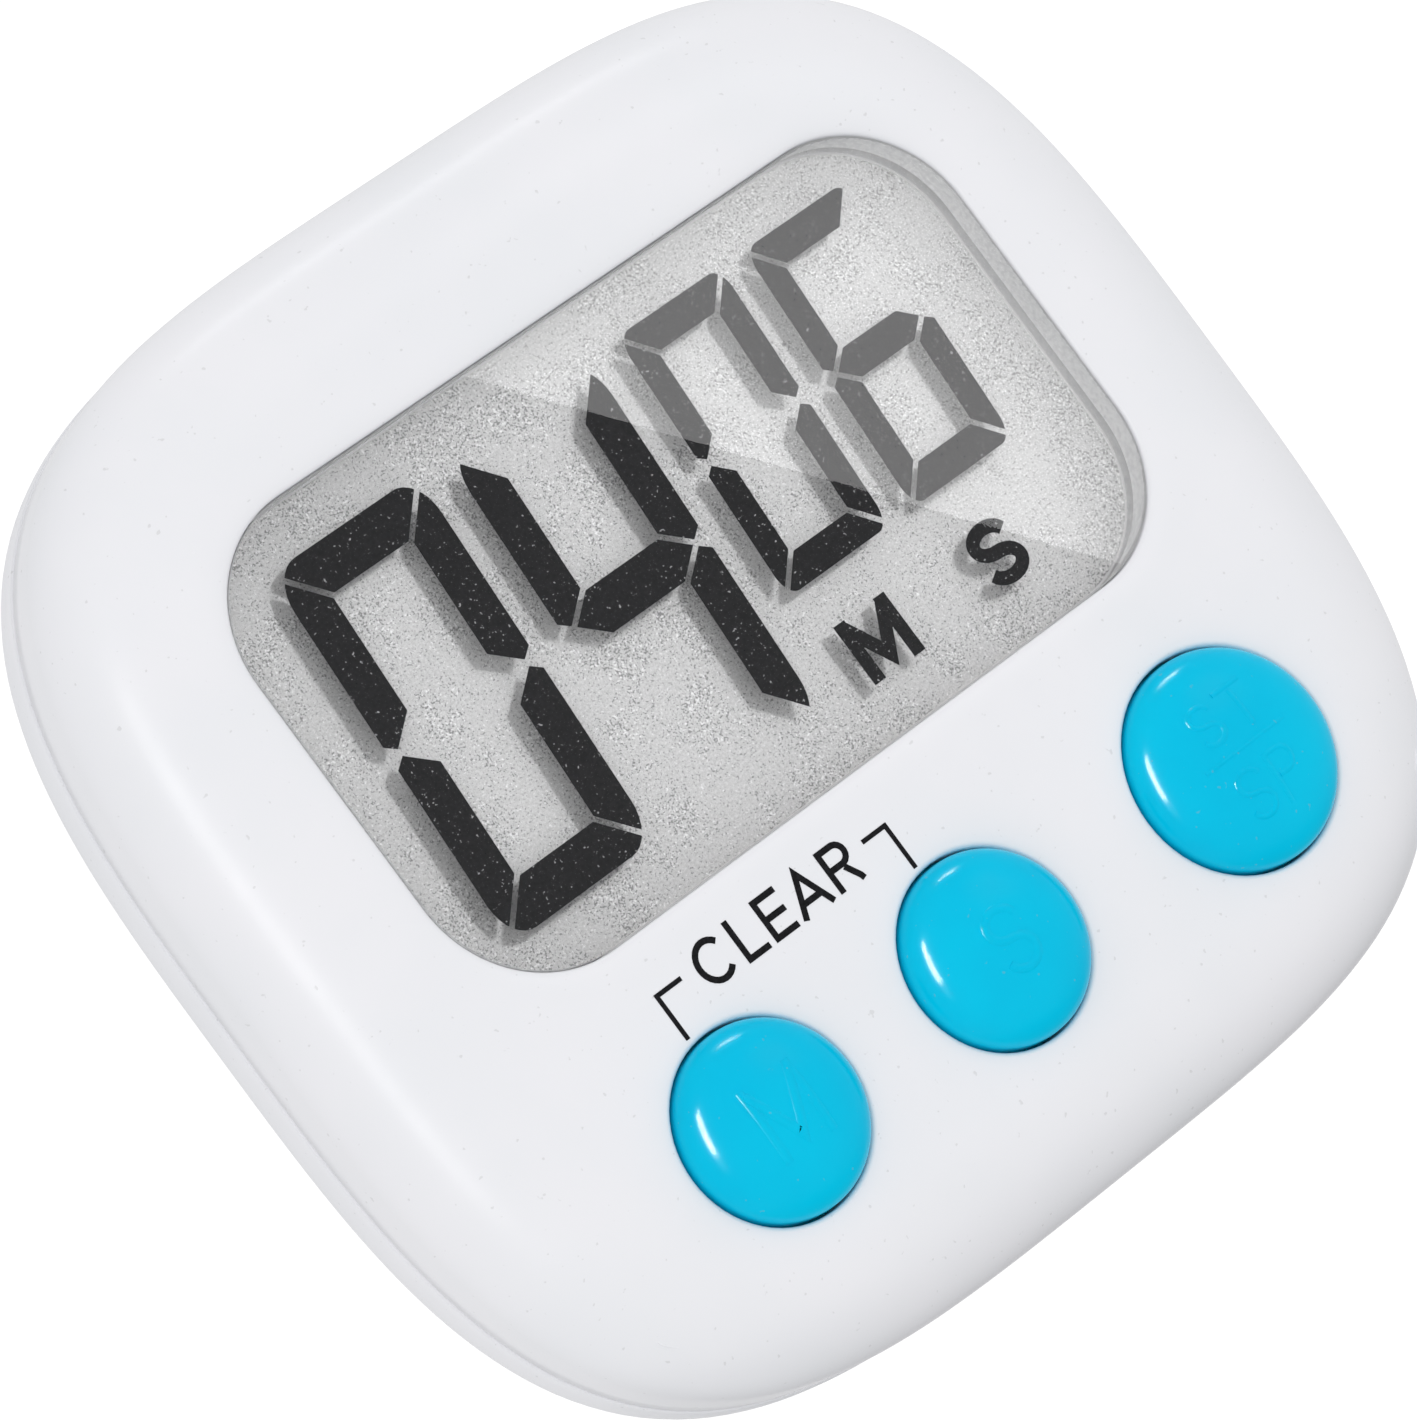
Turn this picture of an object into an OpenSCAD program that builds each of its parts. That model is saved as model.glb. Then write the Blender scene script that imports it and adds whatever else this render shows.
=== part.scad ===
// Pocket lab timer: a two-part case with a liquid crystal display, three push
// buttons, a button cell behind a coin-slot door, a magnet and a folding stand.
// It lies on its back: +Z is the way the display faces, +Y is the display's top.
// The origin is the middle of the flat back.

/* [Case] */
// Width of the case, left to right
case_w = 64; // [62:0.5:68]
// Length of the case, from the button end to the display end
case_l = 59.8; // [58:0.2:64]
// Thickness of the case, from the back to the face
case_t = 15.2; // [15.2:0.1:16]
// Height of the parting line between the two halves
parting_z = 8.2; // [8:0.1:8.4]
// Squareness of the outline across its width
square_x = 3.9; // [3.6:0.1:4.4]
// Squareness of the outline along its length
square_y = 3.25; // [3.1:0.05:3.8]
// How far the rounding of the front edge runs in over the face
front_round_in = 6.5; // [5:0.5:7]
// How far the rounding of the front edge runs down the side
front_round_down = 4.3; // [3.5:0.1:5]
// How far the rounding of the back runs in under the case
back_round_in = 8.2; // [7:0.1:8.6]
// Wall thickness of the face and the sides
wall = 1.8; // [1.6:0.1:1.8]
// Wall thickness of the back
back_wall = 1.6; // [1.4:0.1:1.6]

/* [Window and display] */
// Width of the window
window_w = 46.6; // [44:0.2:47]
// Height of the window
window_h = 26.2; // [25:0.2:26.4]
// Corner radius of the window
window_r = 6.7; // [5:0.1:7]
// Distance of the window's middle above the middle of the case
window_y = 6.4; // [6.2:0.1:6.5]
// Width of the display glass
glass_w = 48.6; // [48.2:0.1:48.8]
// Thickness of each sheet of display glass
glass_t = 1.1; // [1:0.05:1.1]

/* [Buttons] */
// Radius of the two small button caps
small_cap_r = 4.9; // [4.6:0.05:5]
// Radius of the large button cap
large_cap_r = 5.65; // [5.3:0.05:5.7]
// Height of the button caps above the face, at the middle
cap_rise = 1.9; // [1.6:0.1:2.2]
// Travel of each button
travel = 0.8; // [0.6:0.05:0.8]

/* [Battery, magnet and stand] */
// Radius of the button cell
cell_r = 5.8; // [5.7:0.05:5.8]
// Thickness of the button cell
cell_t = 5.4; // [5.2:0.1:5.4]
// Radius of the battery door
door_r = 8.3; // [8.2:0.05:8.4]
// Length, width and thickness of the magnet
magnet_size = [20, 10, 2.1];
// Distance from the stand's hinge to the middle of the case
stand_hinge_y = 15.5; // [15:0.1:16]
// Width of each arm of the stand
stand_arm_w = 4.6; // [4:0.1:4.8]
// Thickness of the stand
stand_t = 2.2; // [2:0.1:2.2]

/* [Hidden] */
$fn = 64;

WHITE = [0.92, 0.93, 0.95];
CYAN = [0.04, 0.76, 0.88];
STEEL = [0.72, 0.72, 0.74];

outline_steps = 56;
round_steps = 5;
// Straight part of the side, just under the parting line
rim_h = 0.6;
ceiling_z = case_t - wall;
inner_round_in = 2.2;
inner_round_down = 1.6;

// Lip on the back cover that locates the front shell
lip_gap = 0.1;
lip_t = 0.8;
lip_root = 1.4;
lip_rise = 0.8;

// Two hooks that hold the display end of the case together
hook_x = 9;
hook_half_w = 2.4;
hook_top_z = 10.5;
hook_stem_gap = 0.35;
hook_stem_t = 1.05;
hook_tooth_h = 0.8;
hook_tooth_out = 0.3;
hook_room = 0.2;

// Heights of the circuit board and of what stands on it
board_t = 1;
board_z = parting_z + 0.2;
board_top = board_z + board_t;
mat_t = 0.8;
mat_y = -16.9;
mat_size = [43, 12];
dome_top = board_top + 2.4;
dome_hollow_r = 3;
dome_post_r = 2.4;
// The contact pills rest clear of the board by the travel and a little more
pill_z = board_top + travel + 0.05;
pill_t = 0.45;
pill_r = 1.6;

// Window and display stack, from the face down
lens_gap = 0.08;
lens_sunk = 0.2;
flange_t = 0.8;
flange_w = 1.2;
film_t = 0.2;
polarizer_z = ceiling_z - flange_t - 0.05 - film_t;
front_glass_z = polarizer_z - glass_t;
rear_glass_z = front_glass_z - glass_t;
reflector_z = rear_glass_z - film_t;
glass_top_y = 20.2;
glass_bottom_y = -9.3;
view_bottom_y = -7.4;
frame_wall = 0.8;
frame_gap = 0.1;
zebra_half_w = 22.5;

// Buttons, each [x, y, cap radius]
button_m_at = [-15.45, -17.4, small_cap_r];
button_s_at = [-0.5, -17.4, small_cap_r];
button_st_sp_at = [16.3, -17.1, large_cap_r];
BUTTONS = [button_m_at, button_s_at, button_st_sp_at];
cap_gap = 0.15;
cap_flange_w = 0.7;
cap_flange_z = ceiling_z - 1.1;
cap_flange_t = 0.9;
cap_crown = 1;
cap_wall = 1.1;
cap_post_r = 2.2;

// Screws
board_screw_at = [[-11, 23.4], [11, 23.4], [-7.95, -20.2], [7.7, -20.2]];
case_screw_at = [[-24.2, -21.2], [24.2, -21.2]];
board_boss_r = 1.6;
case_boss_r = 2.3;
case_column_r = 2.9;
counterbore_r = 2.15;
screw_seat_z = 3.6;
board_screw_r = 0.72;
case_screw_r = 0.8;
thread_gap = 0.03;

// Battery bay and its twist door
bay_at = [-6.2, -7.4];
bay_gap = 0.2;
bay_wall = 1.5;
bay_ring_top = 4.4;
well_wall = 1.1;
contact_t = 0.25;
contact_w = 3;
contact_low_z = 4;
leaf_w = 2.5;
door_t = 1.2;
door_z = 0.15;
ledge_z = 1.45;
ledge_t = 0.75;
skirt_r = 6.8;
skirt_gap = 0.08;
lug_r = 8;
lug_t = 0.8;
lug_turn = 60;
cell_z = 1.9;

// Piezo buzzer, held on a ring over the sound holes
buzzer_at = [10.5, -6.5];
sound_at = [8.8, -6.5];
disc_r = 9;
disc_t = 0.25;
disc_z = 4.4;
disc_gap = 0.1;
disc_ring_t = 0.6;
disc_ledge = 0.8;
ceramic_r = 6.5;
wire_r = 0.35;
sound_hole_r = 0.6;
sound_ring_r = 3.2;

// Magnet pocket
magnet_at = [0, 7.2];
magnet_z = 0.1;
magnet_gap = 0.1;
magnet_wall = 1.5;
magnet_roof = 1.2;

// Stand, a U-shaped bail folded into a groove in the back
stand_outer_x = 20.2;
stand_end_y = -21.6;
stand_z = 0.3;
stand_gap = 0.25;
hinge_z = 1.4;
hinge_pin_r = 0.9;
hinge_pin_l = 1.6;
hinge_block = [3.6, 4.4];
groove_z = 2.8;
groove_roof = 1.2;
groove_corner = 5;
groove_wall = 1.25;
arm_room = 1.5;
finger_dip = [10, 2.4, 1.5];

// ---- Outlines ----

// Signed power, for a superellipse
function spow(v, p) = sign(v) * pow(abs(v), p);

// Points of the case's outline, drawn in by the given distance
function outline(inset) = [
    for (i = [0 : outline_steps - 1])
        let (turn = 360 * i / outline_steps)
        [
            (case_w / 2 - inset) * spow(cos(turn), 2 / square_x),
            (case_l / 2 - inset) * spow(sin(turn), 2 / square_y)
        ]
];

module case_outline(inset) { polygon(outline(inset)); }

// Closed solid through the case's outline at each [height, inset], from the lowest up
module loft(levels) {
    n = outline_steps;
    last = len(levels) - 1;
    rings = [for (level = levels) for (p = outline(level[1])) [p[0], p[1], level[0]]];
    middles = [[0, 0, levels[0][0]], [0, 0, levels[last][0]]];
    foot = len(rings);
    sides = [
        for (k = [0 : last - 1])
            for (i = [0 : n - 1])
                let (a = k * n + i, b = k * n + (i + 1) % n)
                each [[a, a + n, b + n], [a, b + n, b]]
    ];
    ends = [
        for (i = [0 : n - 1])
            let (j = (i + 1) % n)
            each [[foot, i, j], [foot + 1, last * n + j, last * n + i]]
    ];
    polyhedron(concat(rings, middles), concat(sides, ends));
}

module rounded_rect(w, h, r) {
    square([w - 2 * r, h], center = true);
    square([w, h - 2 * r], center = true);
    for (x = [-1, 1])
        for (y = [-1, 1])
            translate([x * (w / 2 - r), y * (h / 2 - r)]) circle(r);
}

// Upright cylinder at a point, from one height to another
module post(at, r, from, to) {
    translate([at[0], at[1], from]) cylinder(h = to - from, r = r);
}

// Upright block between two corners
module block(low, high) {
    translate(low) cube([high[0] - low[0], high[1] - low[1], high[2] - low[2]]);
}

// Block standing on the back, and the same block on the other side of the middle
module block_each_side(inner, outer, low_y, high_y, top) {
    block([inner, low_y, 0], [outer, high_y, top]);
    block([-outer, low_y, 0], [-inner, high_y, top]);
}

// ---- Case ----

module front_form() {
    loft(concat(
        [[parting_z, 0]],
        [
            for (i = [round_steps : -1 : 0])
                let (turn = 90 * i / round_steps)
                [case_t - front_round_down * (1 - cos(turn)), front_round_in * (1 - sin(turn))]
        ]
    ));
}

module front_cavity() {
    loft(concat(
        [[parting_z - 0.1, wall]],
        [
            for (turn = [90, 45, 0])
                [ceiling_z - inner_round_down * (1 - cos(turn)), wall + inner_round_in * (1 - sin(turn))]
        ]
    ));
}

module front_shell() {
    color(WHITE) difference() {
        front_form();
        difference() {
            front_cavity();
            for (at = board_screw_at) post(at, board_boss_r, board_top, case_t);
            for (at = case_screw_at) post(at, case_boss_r, parting_z, case_t);
        }
        translate([0, window_y, ceiling_z - 1])
            linear_extrude(wall + 2) rounded_rect(window_w, window_h, window_r);
        for (b = BUTTONS) post(b, b[2] + cap_gap, ceiling_z - 1, case_t + 1);
        for (at = board_screw_at) post(at, board_screw_r + thread_gap, board_top - 1, ceiling_z);
        for (at = case_screw_at)
            post(at, case_screw_r + thread_gap, parting_z - 1, ceiling_z - 1);
        hook_notches();
    }
}

// Notches inside the front shell for the back cover's two hooks
module hook_notches() {
    edge = case_l / 2 - wall;
    half_w = hook_half_w + 0.3;
    low = hook_top_z - hook_tooth_h - hook_room;
    high = hook_top_z + hook_room;
    for (x = [-hook_x, hook_x])
        block([x - half_w, edge - 0.3, low], [x + half_w, edge + hook_tooth_out + hook_room, high]);
}

module back_form() {
    loft(concat(
        [
            for (i = [0 : round_steps])
                let (turn = 90 * i / round_steps)
                [(parting_z - rim_h) * (1 - cos(turn)), back_round_in * (1 - sin(turn))]
        ],
        [[parting_z, 0]]
    ));
}

module back_cavity() {
    loft(concat(
        [
            for (turn = [0, 30, 60, 90])
                [
                    back_wall + (parting_z - rim_h - back_wall) * (1 - cos(turn)),
                    wall + back_round_in * (1 - sin(turn))
                ]
        ],
        [[parting_z + 0.1, wall]]
    ));
}

// Solid parts left standing inside the back cover
module back_cover_blocks() {
    roof = groove_z + groove_roof;
    side = stand_outer_x + stand_gap + groove_roof;
    inner = stand_outer_x - stand_arm_w - stand_gap - groove_roof;
    low = stand_end_y - stand_gap - groove_wall;
    cross_top = stand_end_y + stand_arm_w + stand_gap + 0.95;
    block_each_side(inner, side, low, stand_hinge_y + arm_room + 0.9, roof);
    block([-side, low, 0], [side, cross_top, roof]);
    pivot_in = stand_outer_x - 0.3;
    pivot_low = stand_hinge_y - hinge_block[1] / 2;
    block_each_side(pivot_in, pivot_in + hinge_block[0], pivot_low, pivot_low + hinge_block[1], roof);
    translate([magnet_at[0], magnet_at[1], 0])
        linear_extrude(magnet_z + magnet_size[2] + magnet_roof)
            square([magnet_size[0] + 2 * magnet_wall, magnet_size[1] + 2 * magnet_wall], center = true);
    post(bay_at, lug_r + bay_wall, 0, bay_ring_top);
    post(bay_at, cell_r + bay_gap + well_wall, 0, cell_z + cell_t - 0.1);
    difference() {
        post(buzzer_at, disc_r + disc_gap + disc_ring_t, 0, disc_z + disc_ring_t);
        post(buzzer_at, disc_r + disc_gap, disc_z, disc_z + 1);
        post(buzzer_at, disc_r - disc_ledge, -1, disc_z + 1);
    }
    for (at = case_screw_at) post(at, case_column_r, 0, parting_z);
}

// Ring-shaped space that the door's lugs turn in, and the gaps they enter by
module lug_ways() {
    post(bay_at, lug_r + 0.2, ledge_z + ledge_t, ledge_z + ledge_t + lug_t + 0.3);
    translate([bay_at[0], bay_at[1], 0])
        for (turn = [lug_turn, lug_turn + 180])
            lug_sector(turn, 24, lug_r + 0.2, ledge_z - 0.1, ledge_z + ledge_t + 0.1);
}

// Wedge of a disc, half_width degrees to each side of the given direction
module lug_sector(turn, half_width, r, from, to) {
    reach = 2 * r;
    intersection() {
        translate([0, 0, from]) cylinder(h = to - from, r = r);
        rotate([0, 0, turn])
            translate([0, 0, from])
                linear_extrude(to - from)
                    polygon([
                        [0, 0],
                        [reach * cos(half_width), -reach * sin(half_width)],
                        [reach * cos(half_width), reach * sin(half_width)]
                    ]);
    }
}

// Groove for the folded stand, with a finger dip at its free end
module stand_groove() {
    low = stand_end_y - stand_gap;
    outer = stand_outer_x + stand_gap;
    inner = stand_outer_x - stand_arm_w - stand_gap;
    top = stand_hinge_y + arm_room;
    corner = groove_corner;
    for (x = [-1, 1])
        translate([x * (outer + inner) / 2, (low + corner + top) / 2, -1])
            linear_extrude(groove_z + 1)
                square([outer - inner, top - low - corner], center = true);
    translate([0, 0, -1])
        linear_extrude(groove_z + 1)
            difference() {
                union() {
                    translate([0, low + corner]) square([2 * (outer - corner), 2 * corner], center = true);
                    for (x = [-1, 1]) translate([x * (outer - corner), low + corner]) circle(corner);
                    translate([0, low + 1.5 * corner]) square([2 * outer, corner], center = true);
                }
                translate([-inner, low + stand_arm_w + 2 * stand_gap]) square([2 * inner, 20]);
            }
    block([-finger_dip[0] / 2, low - finger_dip[1], -1], [finger_dip[0] / 2, low + 1, finger_dip[2]]);
}

module locating_lip() {
    translate([0, 0, parting_z - lip_root])
        linear_extrude(lip_root + lip_rise)
            difference() {
                case_outline(wall + lip_gap);
                case_outline(wall + lip_gap + lip_t);
            }
}

module hooks() {
    edge = case_l / 2 - wall;
    stem = edge - hook_stem_gap;
    low = hook_top_z - hook_tooth_h;
    for (x = [-hook_x, hook_x]) {
        left = x - hook_half_w;
        right = x + hook_half_w;
        block([left, stem - hook_stem_t, parting_z], [right, stem, hook_top_z]);
        block([left, stem - 0.15, low], [right, edge + hook_tooth_out, hook_top_z]);
    }
}

// Bores in the back cover for the stand's two hinge pins
module hinge_bores() {
    depth = hinge_pin_l + 0.2;
    for (x = [-1, 1])
        translate([x * (stand_outer_x + depth / 2), stand_hinge_y, hinge_z])
            rotate([0, 90, 0]) cylinder(h = depth, r = hinge_pin_r + 0.05, center = true);
}

module magnet_pocket() {
    pocket = [magnet_size[0] + 2 * magnet_gap, magnet_size[1] + 2 * magnet_gap];
    translate([magnet_at[0], magnet_at[1], -1])
        linear_extrude(magnet_z + magnet_size[2] + 1) square(pocket, center = true);
}

// Openings for the door, the cell and its side contact
module battery_bay() {
    well_r = cell_r + bay_gap;
    slot_half_w = contact_w / 2 + 0.3;
    post(bay_at, door_r + 0.2, -1, ledge_z);
    post(bay_at, skirt_r + skirt_gap, -1, ledge_z + ledge_t + 0.1);
    post(bay_at, well_r, -1, cell_z + cell_t + 1);
    lug_ways();
    block(
        [bay_at[0] - well_r - 1.6, bay_at[1] - slot_half_w, contact_low_z - 0.2],
        [bay_at[0] - cell_r + 0.4, bay_at[1] + slot_half_w, parting_z - 0.2]
    );
}

module sound_holes() {
    post(sound_at, sound_hole_r, -1, back_wall + 1);
    for (turn = [0 : 60 : 300]) {
        x = sound_at[0] + sound_ring_r * cos(turn);
        y = sound_at[1] + sound_ring_r * sin(turn);
        post([x, y], sound_hole_r, -1, back_wall + 1);
    }
}

module case_screw_bores() {
    for (at = case_screw_at) {
        post(at, counterbore_r, -1, screw_seat_z);
        post(at, case_screw_r + 0.3, 0, parting_z + 1);
        post(at, case_boss_r + 0.15, parting_z, parting_z + 2);
    }
}

module back_cover() {
    color(WHITE) difference() {
        union() {
            difference() {
                back_form();
                difference() {
                    back_cavity();
                    back_cover_blocks();
                }
            }
            locating_lip();
            hooks();
        }
        stand_groove();
        hinge_bores();
        magnet_pocket();
        battery_bay();
        sound_holes();
        case_screw_bores();
    }
}

// ---- Window and display ----

module window_lens() {
    color([0.85, 0.9, 0.92, 0.4]) translate([0, window_y, 0]) {
        translate([0, 0, ceiling_z])
            linear_extrude(wall - lens_sunk)
                rounded_rect(window_w - 2 * lens_gap, window_h - 2 * lens_gap, window_r - lens_gap);
        translate([0, 0, ceiling_z - flange_t])
            linear_extrude(flange_t)
                rounded_rect(window_w + 2 * flange_w, window_h + 2 * flange_w, window_r + flange_w);
    }
}

// Flat sheet of the display, from bottom_y to the glass's top edge
module display_sheet(z, thickness, bottom_y) {
    block([-glass_w / 2, bottom_y, z], [glass_w / 2, glass_top_y, z + thickness]);
}

module lcd_front_polarizer() {
    color([0.7, 0.72, 0.68]) display_sheet(polarizer_z, film_t, view_bottom_y);
}

module lcd_front_glass() {
    color([0.8, 0.88, 0.86, 0.5]) display_sheet(front_glass_z, glass_t, glass_bottom_y);
}

module lcd_rear_glass() {
    color([0.76, 0.86, 0.84, 0.5]) display_sheet(rear_glass_z, glass_t, view_bottom_y);
}

module lcd_reflector() {
    color([0.76, 0.77, 0.75]) display_sheet(reflector_z, film_t, view_bottom_y);
}

// Open frame that stands on the board and keeps the glass square to the window
module lcd_frame() {
    half = glass_w / 2 + frame_gap;
    low = glass_bottom_y - frame_gap;
    high = glass_top_y + frame_gap;
    color([0.9, 0.9, 0.9]) difference() {
        block(
            [-half - frame_wall, low - frame_wall, board_top],
            [half + frame_wall, high + frame_wall, ceiling_z - flange_t]
        );
        block([-half, low, board_top - 1], [half, high, ceiling_z]);
    }
}

module zebra_strip() {
    low = [-zebra_half_w, glass_bottom_y + 0.1, board_top];
    high = [zebra_half_w, view_bottom_y - 0.2, front_glass_z];
    color([0.85, 0.55, 0.6]) block(low, high);
}

// ---- Circuit board and keypad ----

module board_outline() {
    polygon([
        [-24.8, -15], [-19, -23.2], [19, -23.2], [24.8, -15], [24.8, 18.6], [22.6, 20.9],
        [15, 20.9], [15, 25.2], [-15, 25.2], [-15, 20.9], [-22.6, 20.9], [-24.8, 18.6]
    ]);
}

module circuit_board() {
    color([0.1, 0.42, 0.25]) difference() {
        translate([0, 0, board_z]) linear_extrude(board_t) board_outline();
        for (at = board_screw_at) post(at, board_screw_r + 0.2, board_z - 1, board_top + 1);
    }
}

// One silicone mat with a hollow dome under each button
module keypad() {
    color([0.86, 0.86, 0.84]) difference() {
        union() {
            translate([0, 0, board_top])
                linear_extrude(mat_t)
                    intersection() {
                        board_outline();
                        translate([0.6, mat_y]) square(mat_size, center = true);
                    }
            for (b = BUTTONS) dome_outside(b);
        }
        for (b = BUTTONS) dome_hollow(b);
        for (at = board_screw_at) post(at, board_boss_r + 0.2, board_top - 1, dome_top);
    }
}

module dome_outside(b) {
    translate([b[0], b[1], board_top + mat_t])
        cylinder(h = 0.6, r1 = dome_hollow_r + 0.8, r2 = dome_post_r + 0.2);
    post(b, dome_post_r, board_top + mat_t, dome_top);
}

// Hollow under a dome, with a socket at its top for the contact pill
module dome_hollow(b) {
    socket_r = pill_r + 0.4;
    post(b, dome_hollow_r, board_top - 1, board_top + 0.5);
    translate([b[0], b[1], board_top + 0.499])
        cylinder(h = 0.55, r1 = dome_hollow_r, r2 = socket_r);
    post(b, socket_r, board_top, pill_z + pill_t);
}

module contact_pill(b) {
    color([0.12, 0.12, 0.12]) post(b, pill_r, pill_z, pill_z + pill_t);
}

module contact_pill_m() { contact_pill(button_m_at); }
module contact_pill_s() { contact_pill(button_s_at); }
module contact_pill_st_sp() { contact_pill(button_st_sp_at); }

// Domed cap with a flange that stops it under the face and a post on the dome
module button_cap(b) {
    top = case_t + cap_rise;
    ball_r = (b[2] * b[2] + cap_crown * cap_crown) / (2 * cap_crown);
    color(CYAN) difference() {
        union() {
            intersection() {
                post(b, b[2], cap_flange_z, top);
                translate([b[0], b[1], top - ball_r]) sphere(ball_r, $fn = 128);
            }
            post(b, b[2] + cap_flange_w, cap_flange_z, cap_flange_z + cap_flange_t);
        }
        difference() {
            post(b, b[2] - cap_wall, cap_flange_z - 1, top - cap_crown - 1.3);
            post(b, cap_post_r, cap_flange_z - 1, top);
        }
    }
    color(CYAN) post(b, cap_post_r, dome_top, cap_flange_z + 0.01);
}

module button_m() { button_cap(button_m_at); }
module button_s() { button_cap(button_s_at); }
module button_st_sp() { button_cap(button_st_sp_at); }

// ---- Parts under the board ----

// Potted chip, a shallow dome of black resin
module chip_blob() {
    rise = 1.2;
    spread = 4.5;
    color([0.06, 0.06, 0.06]) translate([2, 12, board_z]) rotate_extrude()
        polygon(concat([[0, 0]], [for (turn = [0 : 15 : 90]) [spread * cos(turn), -rise * sin(turn)]]));
}

module crystal() {
    color(STEEL) translate([-15, 14, board_z - 1]) rotate([0, 90, 0]) cylinder(h = 6, r = 0.99);
}

module chip_capacitors() {
    color([0.7, 0.6, 0.45])
        for (at = [[-12, 10], [-12, 6], [-6, 17]])
            block([at[0] - 1, at[1] - 0.6, board_z - 0.8], [at[0] + 1, at[1] + 0.6, board_z]);
}

module boost_inductor() {
    color([0.2, 0.2, 0.22]) post([18, 12], 2, board_z - 3.5, board_z);
}

module transistor() {
    color([0.1, 0.1, 0.1]) block([11.5, 11.4, board_z - 1.1], [14.4, 12.7, board_z]);
}

// ---- Buzzer ----

module piezo_disc() {
    color([0.85, 0.68, 0.3]) post(buzzer_at, disc_r, disc_z, disc_z + disc_t);
}

module piezo_ceramic() {
    color([0.93, 0.91, 0.85]) post(buzzer_at, ceramic_r, disc_z + disc_t, disc_z + 2 * disc_t);
}

// Straight length of wire with round ends
module wire_run(a, b, r) {
    hull() {
        translate(a) sphere(r, $fn = 10);
        translate(b) sphere(r, $fn = 10);
    }
}

module wire(points) {
    for (i = [0 : len(points) - 2]) wire_run(points[i], points[i + 1], wire_r);
}

module buzzer_wires() {
    color([0.75, 0.1, 0.1]) wire([[9, 4, 8], [9, 2, 7.2], [10, -3, 6.2], [10.5, -4.5, 5.3]]);
    color([0.1, 0.1, 0.1]) wire([[13, 4, 8], [14, 2, 7.2], [16, -1.5, 5.6], [16.6, -2.6, 5.05]]);
}

// ---- Battery bay ----

module button_cell() {
    color(STEEL) post(bay_at, cell_r, cell_z, cell_z + cell_t - 0.6);
    color(STEEL) post(bay_at, cell_r - 0.8, cell_z + cell_t - 0.6, cell_z + cell_t);
}

// Strip that touches the side of the cell and turns over under the board
module positive_contact() {
    x = bay_at[0] - cell_r;
    low_y = bay_at[1] - contact_w / 2;
    high_y = bay_at[1] + contact_w / 2;
    color(STEEL) {
        block([x - contact_t, low_y, contact_low_z], [x, high_y, board_z]);
        block([x - 2.6, low_y, board_z - contact_t], [x - 0.2, high_y, board_z]);
    }
}

// Leaf that springs down from the board onto the cell's cap
module negative_contact() {
    low = cell_z + cell_t;
    bend = low + contact_t;
    root = board_z - contact_t;
    color(STEEL) translate([bay_at[0], bay_at[1] + leaf_w / 2, 0])
        rotate([90, 0, 0])
            linear_extrude(leaf_w)
                polygon([
                    [-3.4, board_z], [-3.4, root], [-1.6, root], [0.6, low], [1.8, low],
                    [3.2, low + 0.5], [3, low + 0.7], [1.7, bend], [0.8, bend], [-1.2, board_z]
                ]);
}

// Round door with a coin slot and two bayonet lugs
module battery_door() {
    lug_z = ledge_z + ledge_t + 0.1;
    color(WHITE) translate([bay_at[0], bay_at[1], 0]) difference() {
        union() {
            translate([0, 0, door_z]) cylinder(h = door_t, r = door_r);
            translate([0, 0, door_z]) cylinder(h = lug_z + lug_t - door_z, r = skirt_r);
            for (turn = [0, 180]) lug_sector(turn, 20, lug_r, lug_z, lug_z + lug_t);
        }
        translate([0, 0, door_z + door_t + 0.3]) cylinder(h = 5, r = cell_r + bay_gap);
        cube([11, 1.7, 2 * door_z + 1.4], center = true);
    }
}

// ---- Magnet, stand and screws ----

module magnet() {
    color([0.2, 0.2, 0.2])
        translate([magnet_at[0], magnet_at[1], magnet_z])
            linear_extrude(magnet_size[2]) square([magnet_size[0], magnet_size[1]], center = true);
}

module stand() {
    inner = stand_outer_x - stand_arm_w;
    corner = groove_corner - stand_gap;
    arm_l = stand_hinge_y - stand_end_y - corner;
    color(WHITE) {
        for (x = [-1, 1]) {
            translate([x * (stand_outer_x + inner) / 2, stand_hinge_y - arm_l / 2, stand_z])
                linear_extrude(stand_t) square([stand_arm_w, arm_l], center = true);
            translate([x * (stand_outer_x + inner) / 2, stand_hinge_y, hinge_z])
                rotate([0, 90, 0]) cylinder(h = stand_arm_w, r = stand_t / 2, center = true);
            translate([x * (stand_outer_x + hinge_pin_l / 2 - 0.1), stand_hinge_y, hinge_z])
                rotate([0, 90, 0]) cylinder(h = hinge_pin_l + 0.2, r = hinge_pin_r, center = true);
        }
        translate([0, stand_end_y, stand_z]) linear_extrude(stand_t) stand_end(inner, corner);
    }
}

// Flat outline of the bar that joins the stand's two arms
module stand_end(inner, corner) {
    difference() {
        union() {
            translate([0, corner]) square([2 * (stand_outer_x - corner), 2 * corner], center = true);
            for (x = [-1, 1]) translate([x * (stand_outer_x - corner), corner]) circle(corner);
        }
        translate([-inner, stand_arm_w]) square([2 * inner, 20]);
        translate([-case_w / 2, corner]) square([case_w, 20]);
    }
}

// Pan-head screw pointing up, the underside of its head at seat
module screw(at, head_r, head_t, shank_r, seat, tip) {
    difference() {
        post(at, head_r, seat - head_t, seat);
        for (turn = [0, 90])
            translate([at[0], at[1], seat - head_t])
                rotate([0, 0, turn]) cube([1.3 * head_r, 0.35, 0.9], center = true);
    }
    post(at, shank_r, seat - 0.01, tip);
}

module board_screws() {
    color(STEEL)
        for (at = board_screw_at) screw(at, 1.45, 1, board_screw_r, board_z, ceiling_z - 0.8);
}

module case_screws() {
    color(STEEL)
        for (at = case_screw_at) screw(at, 1.9, 1.3, case_screw_r, screw_seat_z, ceiling_z - 1.6);
}

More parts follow.
